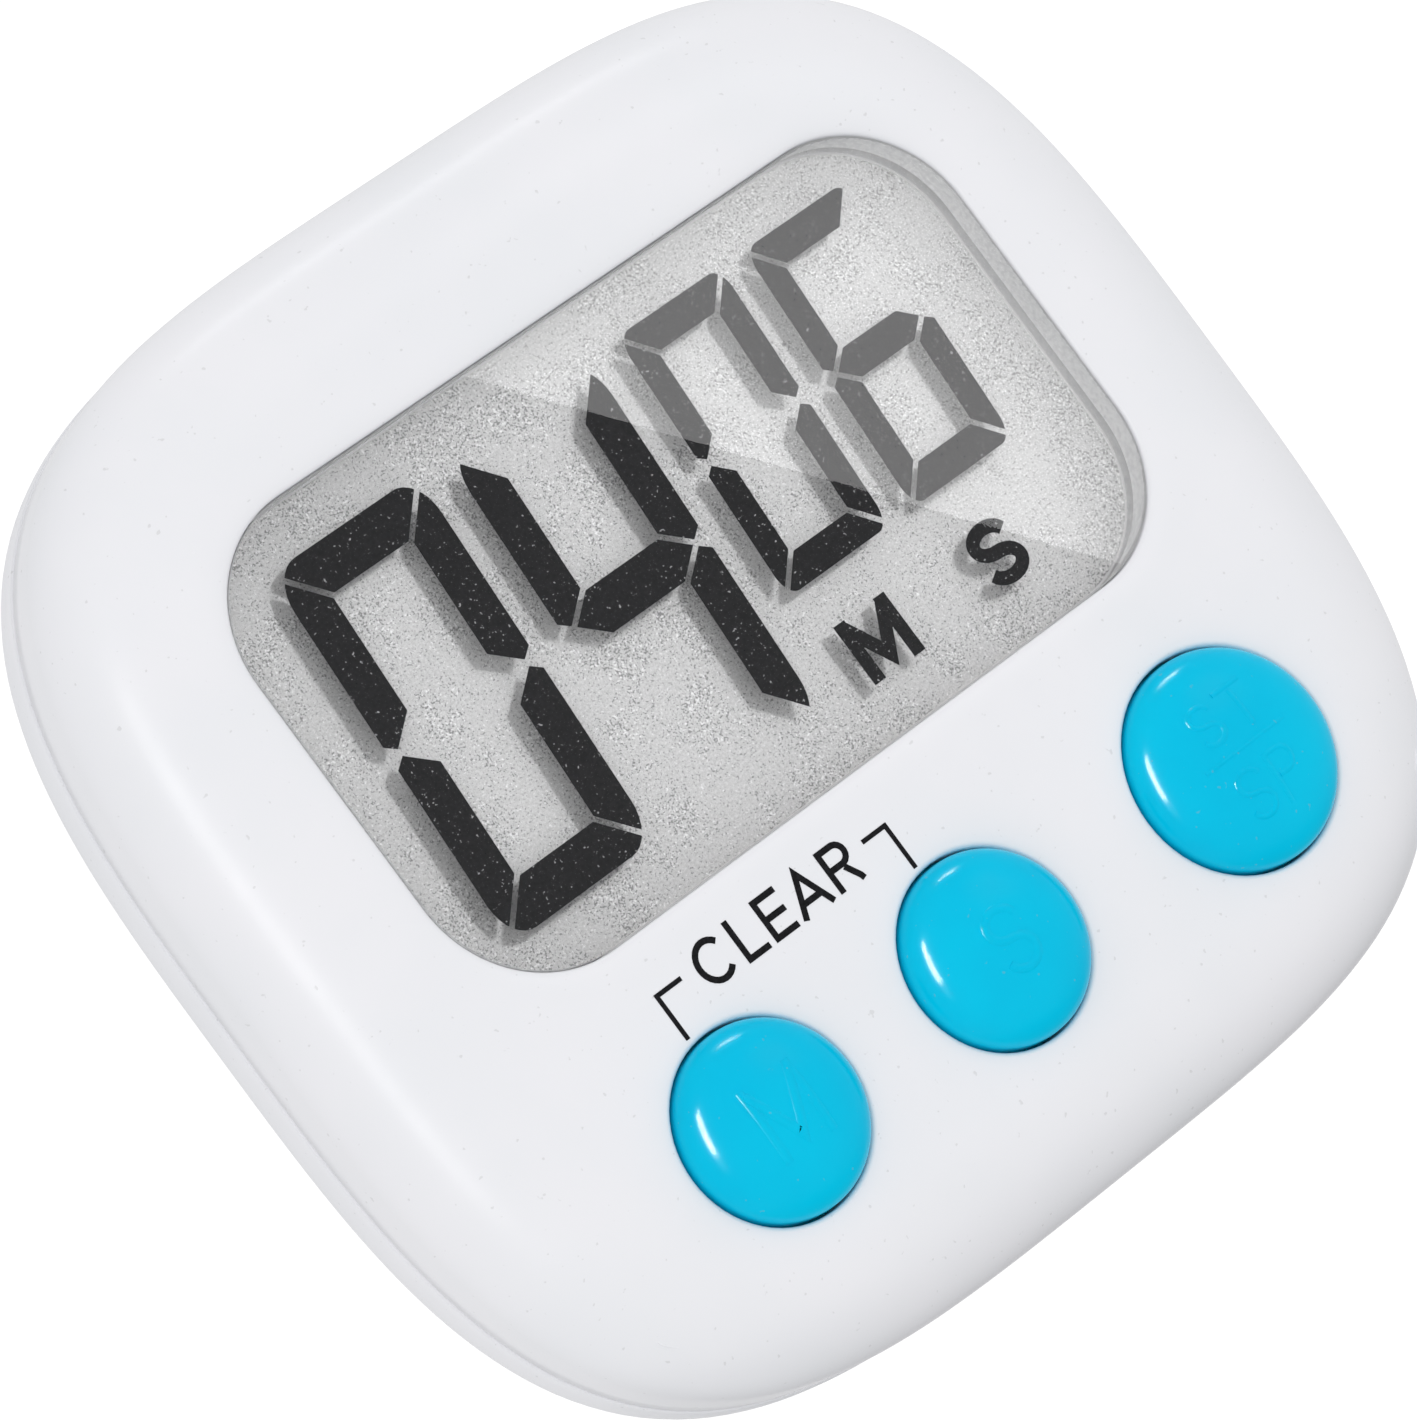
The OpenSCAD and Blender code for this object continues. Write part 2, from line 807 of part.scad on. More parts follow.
front_shell();
back_cover();
window_lens();
lcd_frame();
lcd_front_polarizer();
lcd_front_glass();
lcd_rear_glass();
lcd_reflector();
zebra_strip();
circuit_board();
keypad();
button_m();
button_s();
button_st_sp();
contact_pill_m();
contact_pill_s();
contact_pill_st_sp();
chip_blob();
crystal();
chip_capacitors();
boost_inductor();
transistor();
piezo_disc();
piezo_ceramic();
buzzer_wires();
button_cell();
positive_contact();
negative_contact();
battery_door();
magnet();
stand();
board_screws();
case_screws();
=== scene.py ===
"""Lab timer: the looks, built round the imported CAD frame.

Shapes are worked out in millimetres and turned into metres when a piece is made.
X is right, Y is the display's top, Z is the way the display faces; the back rests at Z = 0.
"""

import math

import bmesh
import bpy
import numpy as np
from mathutils import Matrix, Vector
from mathutils.geometry import delaunay_2d_cdt


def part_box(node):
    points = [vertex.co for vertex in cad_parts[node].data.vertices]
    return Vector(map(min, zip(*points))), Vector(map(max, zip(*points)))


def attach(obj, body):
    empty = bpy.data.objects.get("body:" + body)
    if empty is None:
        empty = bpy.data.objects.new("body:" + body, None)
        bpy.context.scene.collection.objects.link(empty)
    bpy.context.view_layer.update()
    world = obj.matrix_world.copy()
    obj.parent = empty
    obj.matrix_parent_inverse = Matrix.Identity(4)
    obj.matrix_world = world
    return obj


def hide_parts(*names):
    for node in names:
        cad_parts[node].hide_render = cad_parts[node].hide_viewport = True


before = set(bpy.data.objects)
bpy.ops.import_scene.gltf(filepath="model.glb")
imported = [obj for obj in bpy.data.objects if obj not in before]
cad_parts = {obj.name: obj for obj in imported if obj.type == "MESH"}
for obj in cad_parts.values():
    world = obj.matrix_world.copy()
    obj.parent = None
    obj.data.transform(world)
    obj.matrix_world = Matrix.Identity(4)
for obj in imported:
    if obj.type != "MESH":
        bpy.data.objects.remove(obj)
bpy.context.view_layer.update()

MM = 0.001

# ---- Camera ----

CAMERA_AZIMUTH = -87.95
CAMERA_ELEVATION = 61.4
CAMERA_ROLL = 51.7
CAMERA_DISTANCE = 331.93
CAMERA_AIM = (-5.3, -0.3)
CAMERA_LENS = 178.75


def box(node):
    """Lowest and highest corner of a CAD node, in millimetres."""
    low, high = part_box(node)
    return np.array(low) / MM, np.array(high) / MM


def middle(node):
    low, high = box(node)
    return (low + high) / 2


# ---- Sizes taken from the frame ----

SHELL_LOW, SHELL_HIGH = box("front_shell")
LENS_LOW, LENS_HIGH = box("window_lens")
GLASS_LOW, GLASS_HIGH = box("lcd_front_glass")
HALF_W = SHELL_HIGH[0]
HALF_L = SHELL_HIGH[1]
FACE = SHELL_HIGH[2]
PARTING = SHELL_LOW[2]
CEILING = FACE - 1.8

# Sizes that the case's form repeats from the design
SQUARE_X = 3.9
SQUARE_Y = 3.25
ROUND_IN = 6.5
ROUND_DOWN = 4.3
BACK_ROUND_IN = 8.2
RIM_H = 0.6
WALL = 1.8
LENS_FLANGE = 1.2
LENS_GAP = 0.08
WINDOW_W = LENS_HIGH[0] - LENS_LOW[0] - 2 * LENS_FLANGE
WINDOW_H = LENS_HIGH[1] - LENS_LOW[1] - 2 * LENS_FLANGE
WINDOW_R = 6.7
WINDOW_Y = (LENS_LOW[1] + LENS_HIGH[1]) / 2
CAP_FLANGE = 0.7
CAP_GAP = 0.15
AROUND = 256


def cap_place(node):
    """Middle and radius of a button cap."""
    low, high = box(node)
    return (low[0] + high[0]) / 2, (low[1] + high[1]) / 2, (high[0] - low[0]) / 2 - CAP_FLANGE


BUTTONS = {
    "minutes_button": cap_place("button_m"),
    "seconds_button": cap_place("button_s"),
    "start_stop_button": cap_place("button_st_sp"),
}

# ---- Materials ----


def srgb(*levels):
    """Linear colour from 0 to 255 screen levels."""
    linear = []
    for level in levels:
        c = level / 255
        linear.append(c / 12.92 if c <= 0.04045 else ((c + 0.055) / 1.055) ** 2.4)
    return (*linear, 1)


class Nodes:
    """A material and short ways to add nodes to it."""

    def __init__(self, name):
        self.material = bpy.data.materials.new(name)
        self.material.use_nodes = True
        self.tree = self.material.node_tree
        self.tree.nodes.clear()
        self.place = self.add("ShaderNodeTexCoord").outputs["Object"]

    def add(self, kind, inputs=None, **settings):
        node = self.tree.nodes.new(kind)
        for key, value in settings.items():
            setattr(node, key, value)
        for key, value in (inputs or {}).items():
            if isinstance(value, bpy.types.NodeSocket):
                self.tree.links.new(value, node.inputs[key])
            else:
                node.inputs[key].default_value = value
        return node

    def noise(self, size, detail=2, roughness=0.5):
        """Noise whose lumps are about the given size in millimetres."""
        inputs = {"Vector": self.place, "Scale": 1 / (size * MM), "Detail": detail, "Roughness": roughness}
        return self.add("ShaderNodeTexNoise", inputs).outputs["Fac"]

    def ramp(self, value, *stops):
        """Colour from value, by (position, colour) stops."""
        node = self.add("ShaderNodeValToRGB", {"Fac": value})
        elements = node.color_ramp.elements
        while len(elements) < len(stops):
            elements.new(0.5)
        for element, (position, colour) in zip(elements, stops):
            element.position = position
            element.color = colour
        return node.outputs["Color"]

    def level(self, value, low, high, to_low=0, to_high=1):
        """Value moved from one range to another, and clamped."""
        inputs = {"Value": value, "From Min": low, "From Max": high, "To Min": to_low, "To Max": to_high}
        return self.add("ShaderNodeMapRange", inputs).outputs["Result"]

    def mix(self, factor, a, b, blend="MIX"):
        node = self.add("ShaderNodeMix", data_type="RGBA", blend_type=blend)
        for key, value in ((0, factor), (6, a), (7, b)):
            if isinstance(value, bpy.types.NodeSocket):
                self.tree.links.new(value, node.inputs[key])
            else:
                node.inputs[key].default_value = value
        return node.outputs[2]

    def bump(self, height, strength, depth, normal=None):
        inputs = {"Height": height, "Strength": strength, "Distance": depth * MM}
        if normal is not None:
            inputs["Normal"] = normal
        return self.add("ShaderNodeBump", inputs).outputs["Normal"]

    def principled(self, **inputs):
        names = {key.replace("_", " "): value for key, value in inputs.items()}
        return self.add("ShaderNodeBsdfPrincipled", names).outputs["BSDF"]

    def finish(self, shader):
        self.add("ShaderNodeOutputMaterial", {"Surface": shader})
        return self.material


def moulded_plastic(name, colour, shade, roughness, ripple=0.02, gloss=0.5, coat=0.0, edge=0.0):
    """Moulded plastic: faint cloudiness, specks of dust, an orange-peel ripple and fine scuffs."""
    n = Nodes(name)
    tint = n.mix(n.level(n.noise(9, 3), 0.35, 0.65), colour, shade)
    dust = n.level(n.noise(0.35, 1), 0.74, 0.78, 0, 0.22)
    tint = n.mix(dust, tint, srgb(150, 148, 145))
    rough = n.level(n.noise(3.5, 4, 0.7), 0.3, 0.7, roughness * 0.85, roughness * 1.2)
    base = n.add("ShaderNodeBevel", {"Radius": edge * MM}, samples=4).outputs["Normal"] if edge else None
    peel = n.bump(n.noise(1.6, 2), 0.2, ripple, base)
    shader = n.principled(
        Base_Color=tint, Roughness=rough, Normal=n.bump(n.noise(0.16, 2), 0.1, 0.01, peel), IOR=1.49,
        Specular_IOR_Level=gloss, Coat_Weight=coat, Coat_Roughness=0.22, Coat_Normal=peel,
    )
    return n.finish(shader)


def clear_lens():
    """Clear acrylic: what is behind shows through, the outer side mirrors a little, the sides are frosted and
    greyed, partly as painted shade.
    """
    n = Nodes("clear_lens")
    surface = n.add("ShaderNodeNewGeometry").outputs
    outer = n.add("ShaderNodeMath", {0: 1.0, 1: surface["Backfacing"]}, operation="SUBTRACT")
    fresnel = n.add("ShaderNodeFresnel", {"IOR": 1.49})
    coated = n.add("ShaderNodeMath", {0: fresnel.outputs["Fac"], 1: 0.4}, operation="MULTIPLY")
    amount = n.add("ShaderNodeMath", {0: coated.outputs[0], 1: outer.outputs[0]}, operation="MULTIPLY")
    scuffs = n.level(n.noise(0.9, 4, 0.75), 0.45, 0.8, 0.0, 0.035)
    mirror = n.add("ShaderNodeBsdfGlossy", {"Color": (1, 1, 1, 1), "Roughness": scuffs})
    through = n.add("ShaderNodeBsdfTransparent", {"Color": (0.988, 0.988, 0.988, 1)})
    mixed = n.add("ShaderNodeMixShader", {0: amount.outputs[0], 1: through.outputs[0], 2: mirror.outputs[0]})
    # Painted shade: the grey on the upright sides stands for the shade along the window's wall, on top of the
    # frosting of sawn edges.
    facing = n.add("ShaderNodeSeparateXYZ", {0: surface["Normal"]}).outputs["Z"]
    upright = n.level(n.add("ShaderNodeMath", {0: facing}, operation="ABSOLUTE").outputs[0], 0.3, 0.6, 0.85, 0.0)
    grey = n.mix(n.level(n.noise(0.25, 3), 0.4, 0.62), srgb(218, 218, 218), srgb(200, 200, 201))
    sawn_side_and_painted_shade = n.principled(Base_Color=grey, Roughness=0.6)
    edged = n.add("ShaderNodeMixShader", {0: upright, 1: mixed.outputs[0], 2: sawn_side_and_painted_shade})
    return n.finish(edged.outputs[0])


def display_sheet(name, clear, haze_colour, haze):
    """Sheet of display glass or film: mostly clear, with a little haze and sparkle in it."""
    n = Nodes(name)
    through = n.add("ShaderNodeBsdfTransparent", {"Color": clear})
    veil = n.principled(Base_Color=haze_colour, Roughness=0.4)
    amount = n.level(n.noise(0.12, 2), 0.35, 0.75, 0.0, haze)
    mixed = n.add("ShaderNodeMixShader", {0: amount, 1: through.outputs[0], 2: veil})
    return n.finish(mixed.outputs[0])


def display_ground():
    """The display's grey ground: a diffuser with dark and bright grains, thicker in patches."""
    n = Nodes("display_ground")
    grain = n.noise(0.11, 1, 0.5)
    patches = n.level(n.noise(2.6, 3, 0.6), 0.42, 0.6, 0.0, 0.1)
    dark_grain = n.add("ShaderNodeMath", {0: grain, 1: patches}, operation="SUBTRACT").outputs[0]
    bright_grain = n.add("ShaderNodeMath", {0: n.noise(0.13, 1, 0.5), 1: patches}, operation="ADD").outputs[0]
    tint = n.ramp(n.noise(0.15, 3, 0.7), (0.36, srgb(188, 188, 188)), (0.64, srgb(212, 212, 212)))
    tint = n.mix(n.level(dark_grain, 0.3, 0.37, 0.62, 0.0), tint, srgb(70, 70, 71))
    tint = n.mix(n.level(bright_grain, 0.68, 0.76, 0.0, 0.6), tint, srgb(252, 252, 252))
    bump = n.bump(grain, 0.3, 0.02)
    return n.finish(n.principled(Base_Color=tint, Roughness=0.55, Normal=bump))


def display_black():
    """Segments of the display, with a few bright grains."""
    n = Nodes("display_black")
    stops = (0.3, srgb(22, 22, 24)), (0.7, srgb(34, 34, 36)), (0.77, srgb(170, 170, 172))
    tint = n.ramp(n.noise(0.16, 1, 0.5), *stops)
    return n.finish(n.principled(Base_Color=tint, Roughness=0.6, Specular_IOR_Level=0.1))


def printed_ink():
    n = Nodes("printed_ink")
    tint = n.mix(n.level(n.noise(0.2, 2), 0.4, 0.7), srgb(8, 8, 10), srgb(26, 26, 30))
    return n.finish(n.principled(Base_Color=tint, Roughness=0.55, Specular_IOR_Level=0.15))


def metal(name, colour, worn, roughness, grain):
    """Plated or stamped metal with fine scratches and duller patches."""
    n = Nodes(name)
    tint = n.mix(n.level(n.noise(1.5, 4, 0.7), 0.4, 0.65), colour, worn)
    rough = n.level(n.noise(0.5, 4, 0.7), 0.3, 0.7, roughness * 0.7, roughness * 1.4)
    bump = n.bump(n.noise(grain, 3), 0.3, 0.01)
    return n.finish(n.principled(Base_Color=tint, Metallic=1.0, Roughness=rough, Normal=bump))


def dull(name, colour, other, roughness, grain, depth=0.02, size=2.0):
    """Matt material in two close colours with a fine grain."""
    n = Nodes(name)
    tint = n.mix(n.level(n.noise(size, 4, 0.65), 0.38, 0.66), colour, other)
    bump = n.bump(n.noise(grain, 3), 0.4, depth)
    return n.finish(n.principled(Base_Color=tint, Roughness=roughness, Normal=bump))


CASE_COLOURS = srgb(238, 238, 241), srgb(235, 236, 239)
CAP_COLOURS = srgb(0, 198, 234), srgb(0, 191, 229)
MATERIALS = {
    "case_white": moulded_plastic("case_white", *CASE_COLOURS, 0.38, coat=0.5),
    "back_white": moulded_plastic("back_white", *CASE_COLOURS, 0.4, coat=0.2, edge=0.15),
    "button_cyan": moulded_plastic("button_cyan", *CAP_COLOURS, 0.15, ripple=0.01, gloss=0.08),
    "clear_lens": clear_lens(),
    "display_glass": display_sheet("display_glass", (0.985, 0.985, 0.985, 1), srgb(194, 195, 194), 0.02),
    "polarizer": display_sheet("polarizer", (0.97, 0.97, 0.97, 1), srgb(120, 120, 119), 0.02),
    "display_ground": display_ground(),
    "display_black": display_black(),
    "printed_ink": printed_ink(),
    "reflector": metal("reflector", srgb(205, 206, 206), srgb(180, 181, 182), 0.4, 0.1),
    # Painted shade: this grey goes on a ring under the window, where the wall's shade falls.
    "painted_shade_grey": dull("painted_shade_grey", srgb(206, 206, 206), srgb(192, 192, 193), 0.8, 0.15, size=0.4),
    "frame_white": moulded_plastic("frame_white", srgb(226, 226, 226), srgb(216, 216, 217), 0.45),
    "zebra_rubber": dull("zebra_rubber", srgb(214, 138, 150), srgb(196, 120, 134), 0.6, 0.2),
    "board_green": dull("board_green", srgb(18, 96, 52), srgb(28, 120, 66), 0.4, 0.3),
    "silicone": dull("silicone", srgb(220, 220, 214), srgb(206, 206, 200), 0.55, 0.3),
    "carbon": dull("carbon", srgb(28, 28, 28), srgb(44, 44, 44), 0.8, 0.1),
    "black_resin": dull("black_resin", srgb(14, 14, 14), srgb(24, 24, 24), 0.3, 0.8),
    "component": dull("component", srgb(190, 160, 118), srgb(168, 140, 100), 0.5, 0.2),
    "ferrite": dull("ferrite", srgb(52, 52, 55), srgb(70, 70, 72), 0.55, 0.15, 0.03),
    "brass": metal("brass", srgb(222, 186, 96), srgb(186, 148, 70), 0.3, 0.2),
    "piezo_white": dull("piezo_white", srgb(236, 232, 218), srgb(222, 216, 200), 0.6, 0.2),
    "wire_insulation": dull("wire_insulation", srgb(176, 24, 22), srgb(150, 16, 16), 0.4, 0.3),
    "steel": metal("steel", srgb(206, 206, 210), srgb(170, 170, 174), 0.26, 0.25),
}

# ---- Mesh building ----


class Shape:
    """Points and faces in millimetres, collected ring by ring."""

    def __init__(self):
        self.points = []
        self.faces = []

    def ring(self, points):
        start = len(self.points)
        self.points.extend(tuple(map(float, p)) for p in points)
        return list(range(start, len(self.points)))

    def bridge(self, a, b):
        for i in range(len(a)):
            j = (i + 1) % len(a)
            self.faces.append((a[i], a[j], b[j], b[i]))

    def strip(self, rings):
        """Walls through a list of rings that have as many points each."""
        indexes = [self.ring(r) for r in rings]
        for a, b in zip(indexes, indexes[1:]):
            self.bridge(a, b)
        return indexes

    def cap(self, ring):
        self.faces.append(tuple(ring))

    def solid(self, rings):
        indexes = self.strip(rings)
        self.cap(indexes[0])
        self.cap(indexes[-1])

    def fill(self, outer, holes, extra, height):
        """Triangles inside a convex outer ring and outside the holes, through extra points."""
        loops = [outer, *holes]
        known = [i for loop in loops for i in loop]
        flat = [Vector(self.points[i][:2]) for i in known]
        edges = []
        start = 0
        for loop in loops:
            edges += [(start + i, start + (i + 1) % len(loop)) for i in range(len(loop))]
            start += len(loop)
        flat += [Vector(p) for p in extra]
        places, _, faces, origins, _, _ = delaunay_2d_cdt(flat, edges, [], 0, 1e-7)
        index = []
        for place, origin in zip(places, origins):
            if origin and origin[0] < len(known):
                index.append(known[origin[0]])
            else:
                index.extend(self.ring([(place.x, place.y, height(place.x, place.y))]))
        edges_of = [np.array([self.points[i][:2] for i in hole]) for hole in holes]
        for face in faces:
            centre = sum((np.array(places[i]) for i in face), np.zeros(2)) / len(face)
            if not any(inside(centre, edge) for edge in edges_of):
                self.faces.append(tuple(index[i] for i in face))

    def mesh(self, name, angle=35):
        mesh = bpy.data.meshes.new(name)
        mesh.from_pydata([tuple(c * MM for c in p) for p in self.points], [], self.faces)
        work = bmesh.new()
        work.from_mesh(mesh)
        bmesh.ops.recalc_face_normals(work, faces=work.faces)
        work.to_mesh(mesh)
        work.free()
        smooth(mesh, angle)
        return mesh


def smooth(mesh, angle):
    mesh.shade_smooth()
    mesh.set_sharp_from_angle(angle=math.radians(angle))


def inside(point, polygon):
    """Whether a point is inside a closed polygon."""
    x, y = point
    ax, ay = polygon[:, 0], polygon[:, 1]
    bx, by = np.roll(ax, -1), np.roll(ay, -1)
    crosses = (ay > y) != (by > y)
    with np.errstate(divide="ignore", invalid="ignore"):
        at = ax + (y - ay) / (by - ay) * (bx - ax)
    return bool(np.count_nonzero(crosses & (x < at)) % 2)


def piece(name, mesh, material, body, stands_for=()):
    """Makes an object of a mesh, gives it its finish and body, and hides the CAD nodes it stands for."""
    obj = bpy.data.objects.new(name, mesh)
    bpy.context.scene.collection.objects.link(obj)
    mesh.materials.clear()
    mesh.materials.append(MATERIALS[material])
    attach(obj, body)
    if stands_for:
        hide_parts(*stands_for)
    return obj


def case_ring(inset, z, count=AROUND):
    """The case's outline drawn in by inset, with points evenly spaced along it."""
    a, b = HALF_W - inset, HALF_L - inset
    turn = np.linspace(0, math.pi / 2, 1500)
    x = a * np.cos(turn).clip(0) ** (2 / SQUARE_X)
    y = b * np.sin(turn) ** (2 / SQUARE_Y)
    run = np.concatenate([[0], np.cumsum(np.hypot(np.diff(x), np.diff(y)))])
    at = np.linspace(0, run[-1], count // 4 + 1)
    qx, qy = np.interp(at, run, x), np.interp(at, run, y)
    quarter = list(zip(qx, qy))[:-1]
    across = [(-x, y) for x, y in list(zip(qx, qy))[:0:-1]]
    half = quarter + across
    return [(x, y, z) for x, y in half + [(-x, -y) for x, y in half]]


def inset_at(x, y):
    """How far inside the case's outline a point is."""
    low, high = 0.0, HALF_L - abs(y) - 1e-6
    high = min(high, HALF_W - abs(x) - 1e-6)
    for _ in range(40):
        mid = (low + high) / 2
        reach = (abs(x) / (HALF_W - mid)) ** SQUARE_X + (abs(y) / (HALF_L - mid)) ** SQUARE_Y
        low, high = (mid, high) if reach < 1 else (low, mid)
    return low


def circle(at, r, z, count=64):
    """Points round a circle; z may be a number or a function of x and y."""
    points = []
    for i in range(count):
        turn = 2 * math.pi * i / count
        x, y = at[0] + r * math.cos(turn), at[1] + r * math.sin(turn)
        points.append((x, y, z(x, y) if callable(z) else z))
    return points


def rounded_rect(w, h, r, z, offset=0.0, at=(0, 0), corner=24):
    """Points round a rectangle with round corners, moved out by offset."""
    points = []
    for quarter, (sx, sy) in enumerate(((1, 1), (-1, 1), (-1, -1), (1, -1))):
        cx, cy = at[0] + sx * (w / 2 - r), at[1] + sy * (h / 2 - r)
        for i in range(corner + 1):
            turn = math.pi / 2 * (quarter + i / corner)
            points.append((cx + (r + offset) * math.cos(turn), cy + (r + offset) * math.sin(turn), z))
    return points


def arc(steps):
    """Angles from 0 to a right angle."""
    return [math.pi / 2 * i / steps for i in range(steps + 1)]


# ---- Front shell ----

SEAM_SET_BACK = 0.08
FACE_FROM = 4.6
LIP_W = 1.2
LIP_H = 0.3
HOLE_EDGE = 0.28


def face_height(x, y):
    inset = inset_at(x, y)
    if inset >= ROUND_IN:
        return FACE
    return FACE - ROUND_DOWN * (1 - math.sqrt(max(0.0, 1 - (1 - inset / ROUND_IN) ** 2)))


def front_outside():
    """Rings of the outside, from the parting line up to where the face is filled in."""
    rings = [
        case_ring(WALL, PARTING), case_ring(0.3, PARTING), case_ring(0.14, PARTING + 0.06),
        case_ring(SEAM_SET_BACK, PARTING + 0.16), case_ring(SEAM_SET_BACK * 0.6, PARTING + 1.2),
    ]
    last = math.asin(1 - FACE_FROM / ROUND_IN)
    steps = 16
    for i in range(steps + 1):
        turn = math.pi / 2 + (last - math.pi / 2) * i / steps
        rings.append(case_ring(ROUND_IN * (1 - math.sin(turn)), FACE - ROUND_DOWN * (1 - math.cos(turn))))
    return rings


def button_hole_rings(shape, at, r):
    """Rounded edge and wall of a button's hole; gives its top and bottom rings."""
    rings = [circle(at, r + HOLE_EDGE + 0.5, face_height), circle(at, r + HOLE_EDGE, face_height)]
    for turn in arc(4)[1:]:
        out, down = HOLE_EDGE * (1 - math.sin(turn)), HOLE_EDGE * (1 - math.cos(turn))
        height = circle(at, r + HOLE_EDGE, face_height)
        ring = circle(at, r + out, 0)
        rings.append([(p[0], p[1], q[2] - down) for p, q in zip(ring, height)])
    rings.append(circle(at, r, CEILING))
    return shape.strip(rings)


def window_rings(shape):
    """Soft lip of the window and its wall; gives its rings from the face down."""
    def ring(offset, z):
        return rounded_rect(WINDOW_W, WINDOW_H, WINDOW_R, z, offset, (0, WINDOW_Y))
    rings = [ring(LIP_W + 0.6, FACE), ring(LIP_W, FACE)]
    for turn in arc(7)[1:]:
        rings.append(ring(LIP_W * (1 - math.sin(turn)), FACE - LIP_H * (1 - math.cos(turn))))
    rings.append(ring(0, CEILING))
    return shape.strip(rings)


def boss(shape, at, r, hole_r, low, high):
    """Upright screw boss with a blind hole, open at its low end."""
    levels = (r, high), (r, low), (hole_r, low), (hole_r, high - 0.8)
    shape.solid([circle(at, radius, z, 32) for radius, z in levels])


def front_shell():
    shape = Shape()
    outside = shape.strip(front_outside())
    window = window_rings(shape)
    holes = [button_hole_rings(shape, at[:2], at[2] + CAP_GAP) for at in BUTTONS.values()]

    def clear(x, y):
        return all(math.hypot(x - bx, y - by) > r + 1.6 for bx, by, r in BUTTONS.values())
    extra = [
        p[:2] for inset in (5.0, 5.4, 5.8, 6.2, ROUND_IN, ROUND_IN + 0.5)
        for p in case_ring(inset, 0) if clear(p[0], p[1])
    ]
    shape.fill(outside[-1], [window[0]] + [h[0] for h in holes], extra, face_height)
    inner = [case_ring(WALL, PARTING + 3.6)]
    for turn in arc(5)[::-1]:
        inner.append(case_ring(WALL + 2.2 * (1 - math.sin(turn)), CEILING - 1.6 * (1 - math.cos(turn))))
    cavity = shape.strip(inner)
    shape.bridge(outside[0], cavity[0])
    shape.fill(cavity[-1], [window[-1]] + [h[-1] for h in holes], [], lambda x, y: CEILING)
    board_top = box("keypad")[0][2]
    for x, y in screw_places("board_screws"):
        boss(shape, (x, y), 1.6, 0.75, board_top, CEILING + 0.2)
    for x, y in screw_places("case_screws"):
        boss(shape, (x, y), 2.3, 0.83, PARTING, CEILING + 0.2)
    return piece("front_case", shape.mesh("front_case"), "case_white", "case", ["front_shell"])


def screw_places(node):
    """Middles of a node's separate screws, seen along Z."""
    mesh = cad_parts[node].data
    work = bmesh.new()
    work.from_mesh(mesh)
    bmesh.ops.remove_doubles(work, verts=work.verts, dist=1e-6)
    left = set(work.verts)
    places = []
    while left:
        group, queue = [], [left.pop()]
        while queue:
            vert = queue.pop()
            group.append(vert.co.copy())
            for edge in vert.link_edges:
                other = edge.other_vert(vert)
                if other in left:
                    left.remove(other)
                    queue.append(other)
        points = np.array(group) / MM
        places.append(tuple((points.min(0) + points.max(0))[:2] / 2))
    work.free()
    return sorted(places)


# ---- Back cover ----

BACK_FLOOR = 1.6
STAND_LOW, STAND_HIGH = box("stand")
DOOR = middle("battery_door")
DOOR_R = (box("battery_door")[1] - box("battery_door")[0])[0] / 2
CELL_R = (box("button_cell")[1] - box("button_cell")[0])[0] / 2
CELL_TOP = box("button_cell")[1][2]
BUZZER = middle("piezo_disc")
DISC_R = (box("piezo_disc")[1] - box("piezo_disc")[0])[0] / 2
DISC_Z = box("piezo_disc")[0][2]
MAGNET_LOW, MAGNET_HIGH = box("magnet")
STAND_X = -STAND_LOW[0] - 1.6
STAND_ARM = 4.6
STAND_END = STAND_LOW[1]
HINGE_Y = STAND_HIGH[1] - 1.1
GROOVE_H = 2.8
GROOVE_GAP = 0.25


def back_ring(inset_turn, deeper=0.0, z_off=0.0):
    """Outline of the back's outside where its rounding has the given angle."""
    inset = BACK_ROUND_IN * (1 - math.sin(inset_turn)) + deeper
    z = (PARTING - RIM_H - z_off) * (1 - math.cos(inset_turn)) + z_off
    return case_ring(inset, z)


def back_solid(deeper, floor):
    """Closed solid of the back's outside, or of its cavity when drawn in."""
    shape = Shape()
    rings = [back_ring(turn, deeper, floor) for turn in arc(22)]
    if deeper:
        rings.append(case_ring(deeper, PARTING + 1))
    else:
        rings.append(case_ring(0, PARTING - 0.2))
        rings.append(case_ring(0.04, PARTING - 0.06))
        rings.append(case_ring(0.16, PARTING))
    shape.solid(rings)
    return shape


def prism(loop, low, high):
    shape = Shape()
    shape.solid([[(x, y, low) for x, y in loop], [(x, y, high) for x, y in loop]])
    return shape


def post(at, r, low, high, count=64):
    return prism([p[:2] for p in circle(at, r, 0, count)], low, high)


def brick(low, high):
    loop = [(low[0], low[1]), (high[0], low[1]), (high[0], high[1]), (low[0], high[1])]
    return prism(loop, low[2], high[2])


def magnet_brick(grow, low, high):
    """Brick round the magnet, wider than it by grow on each side."""
    return brick(
        (MAGNET_LOW[0] - grow, MAGNET_LOW[1] - grow, low),
        (MAGNET_HIGH[0] + grow, MAGNET_HIGH[1] + grow, high),
    )


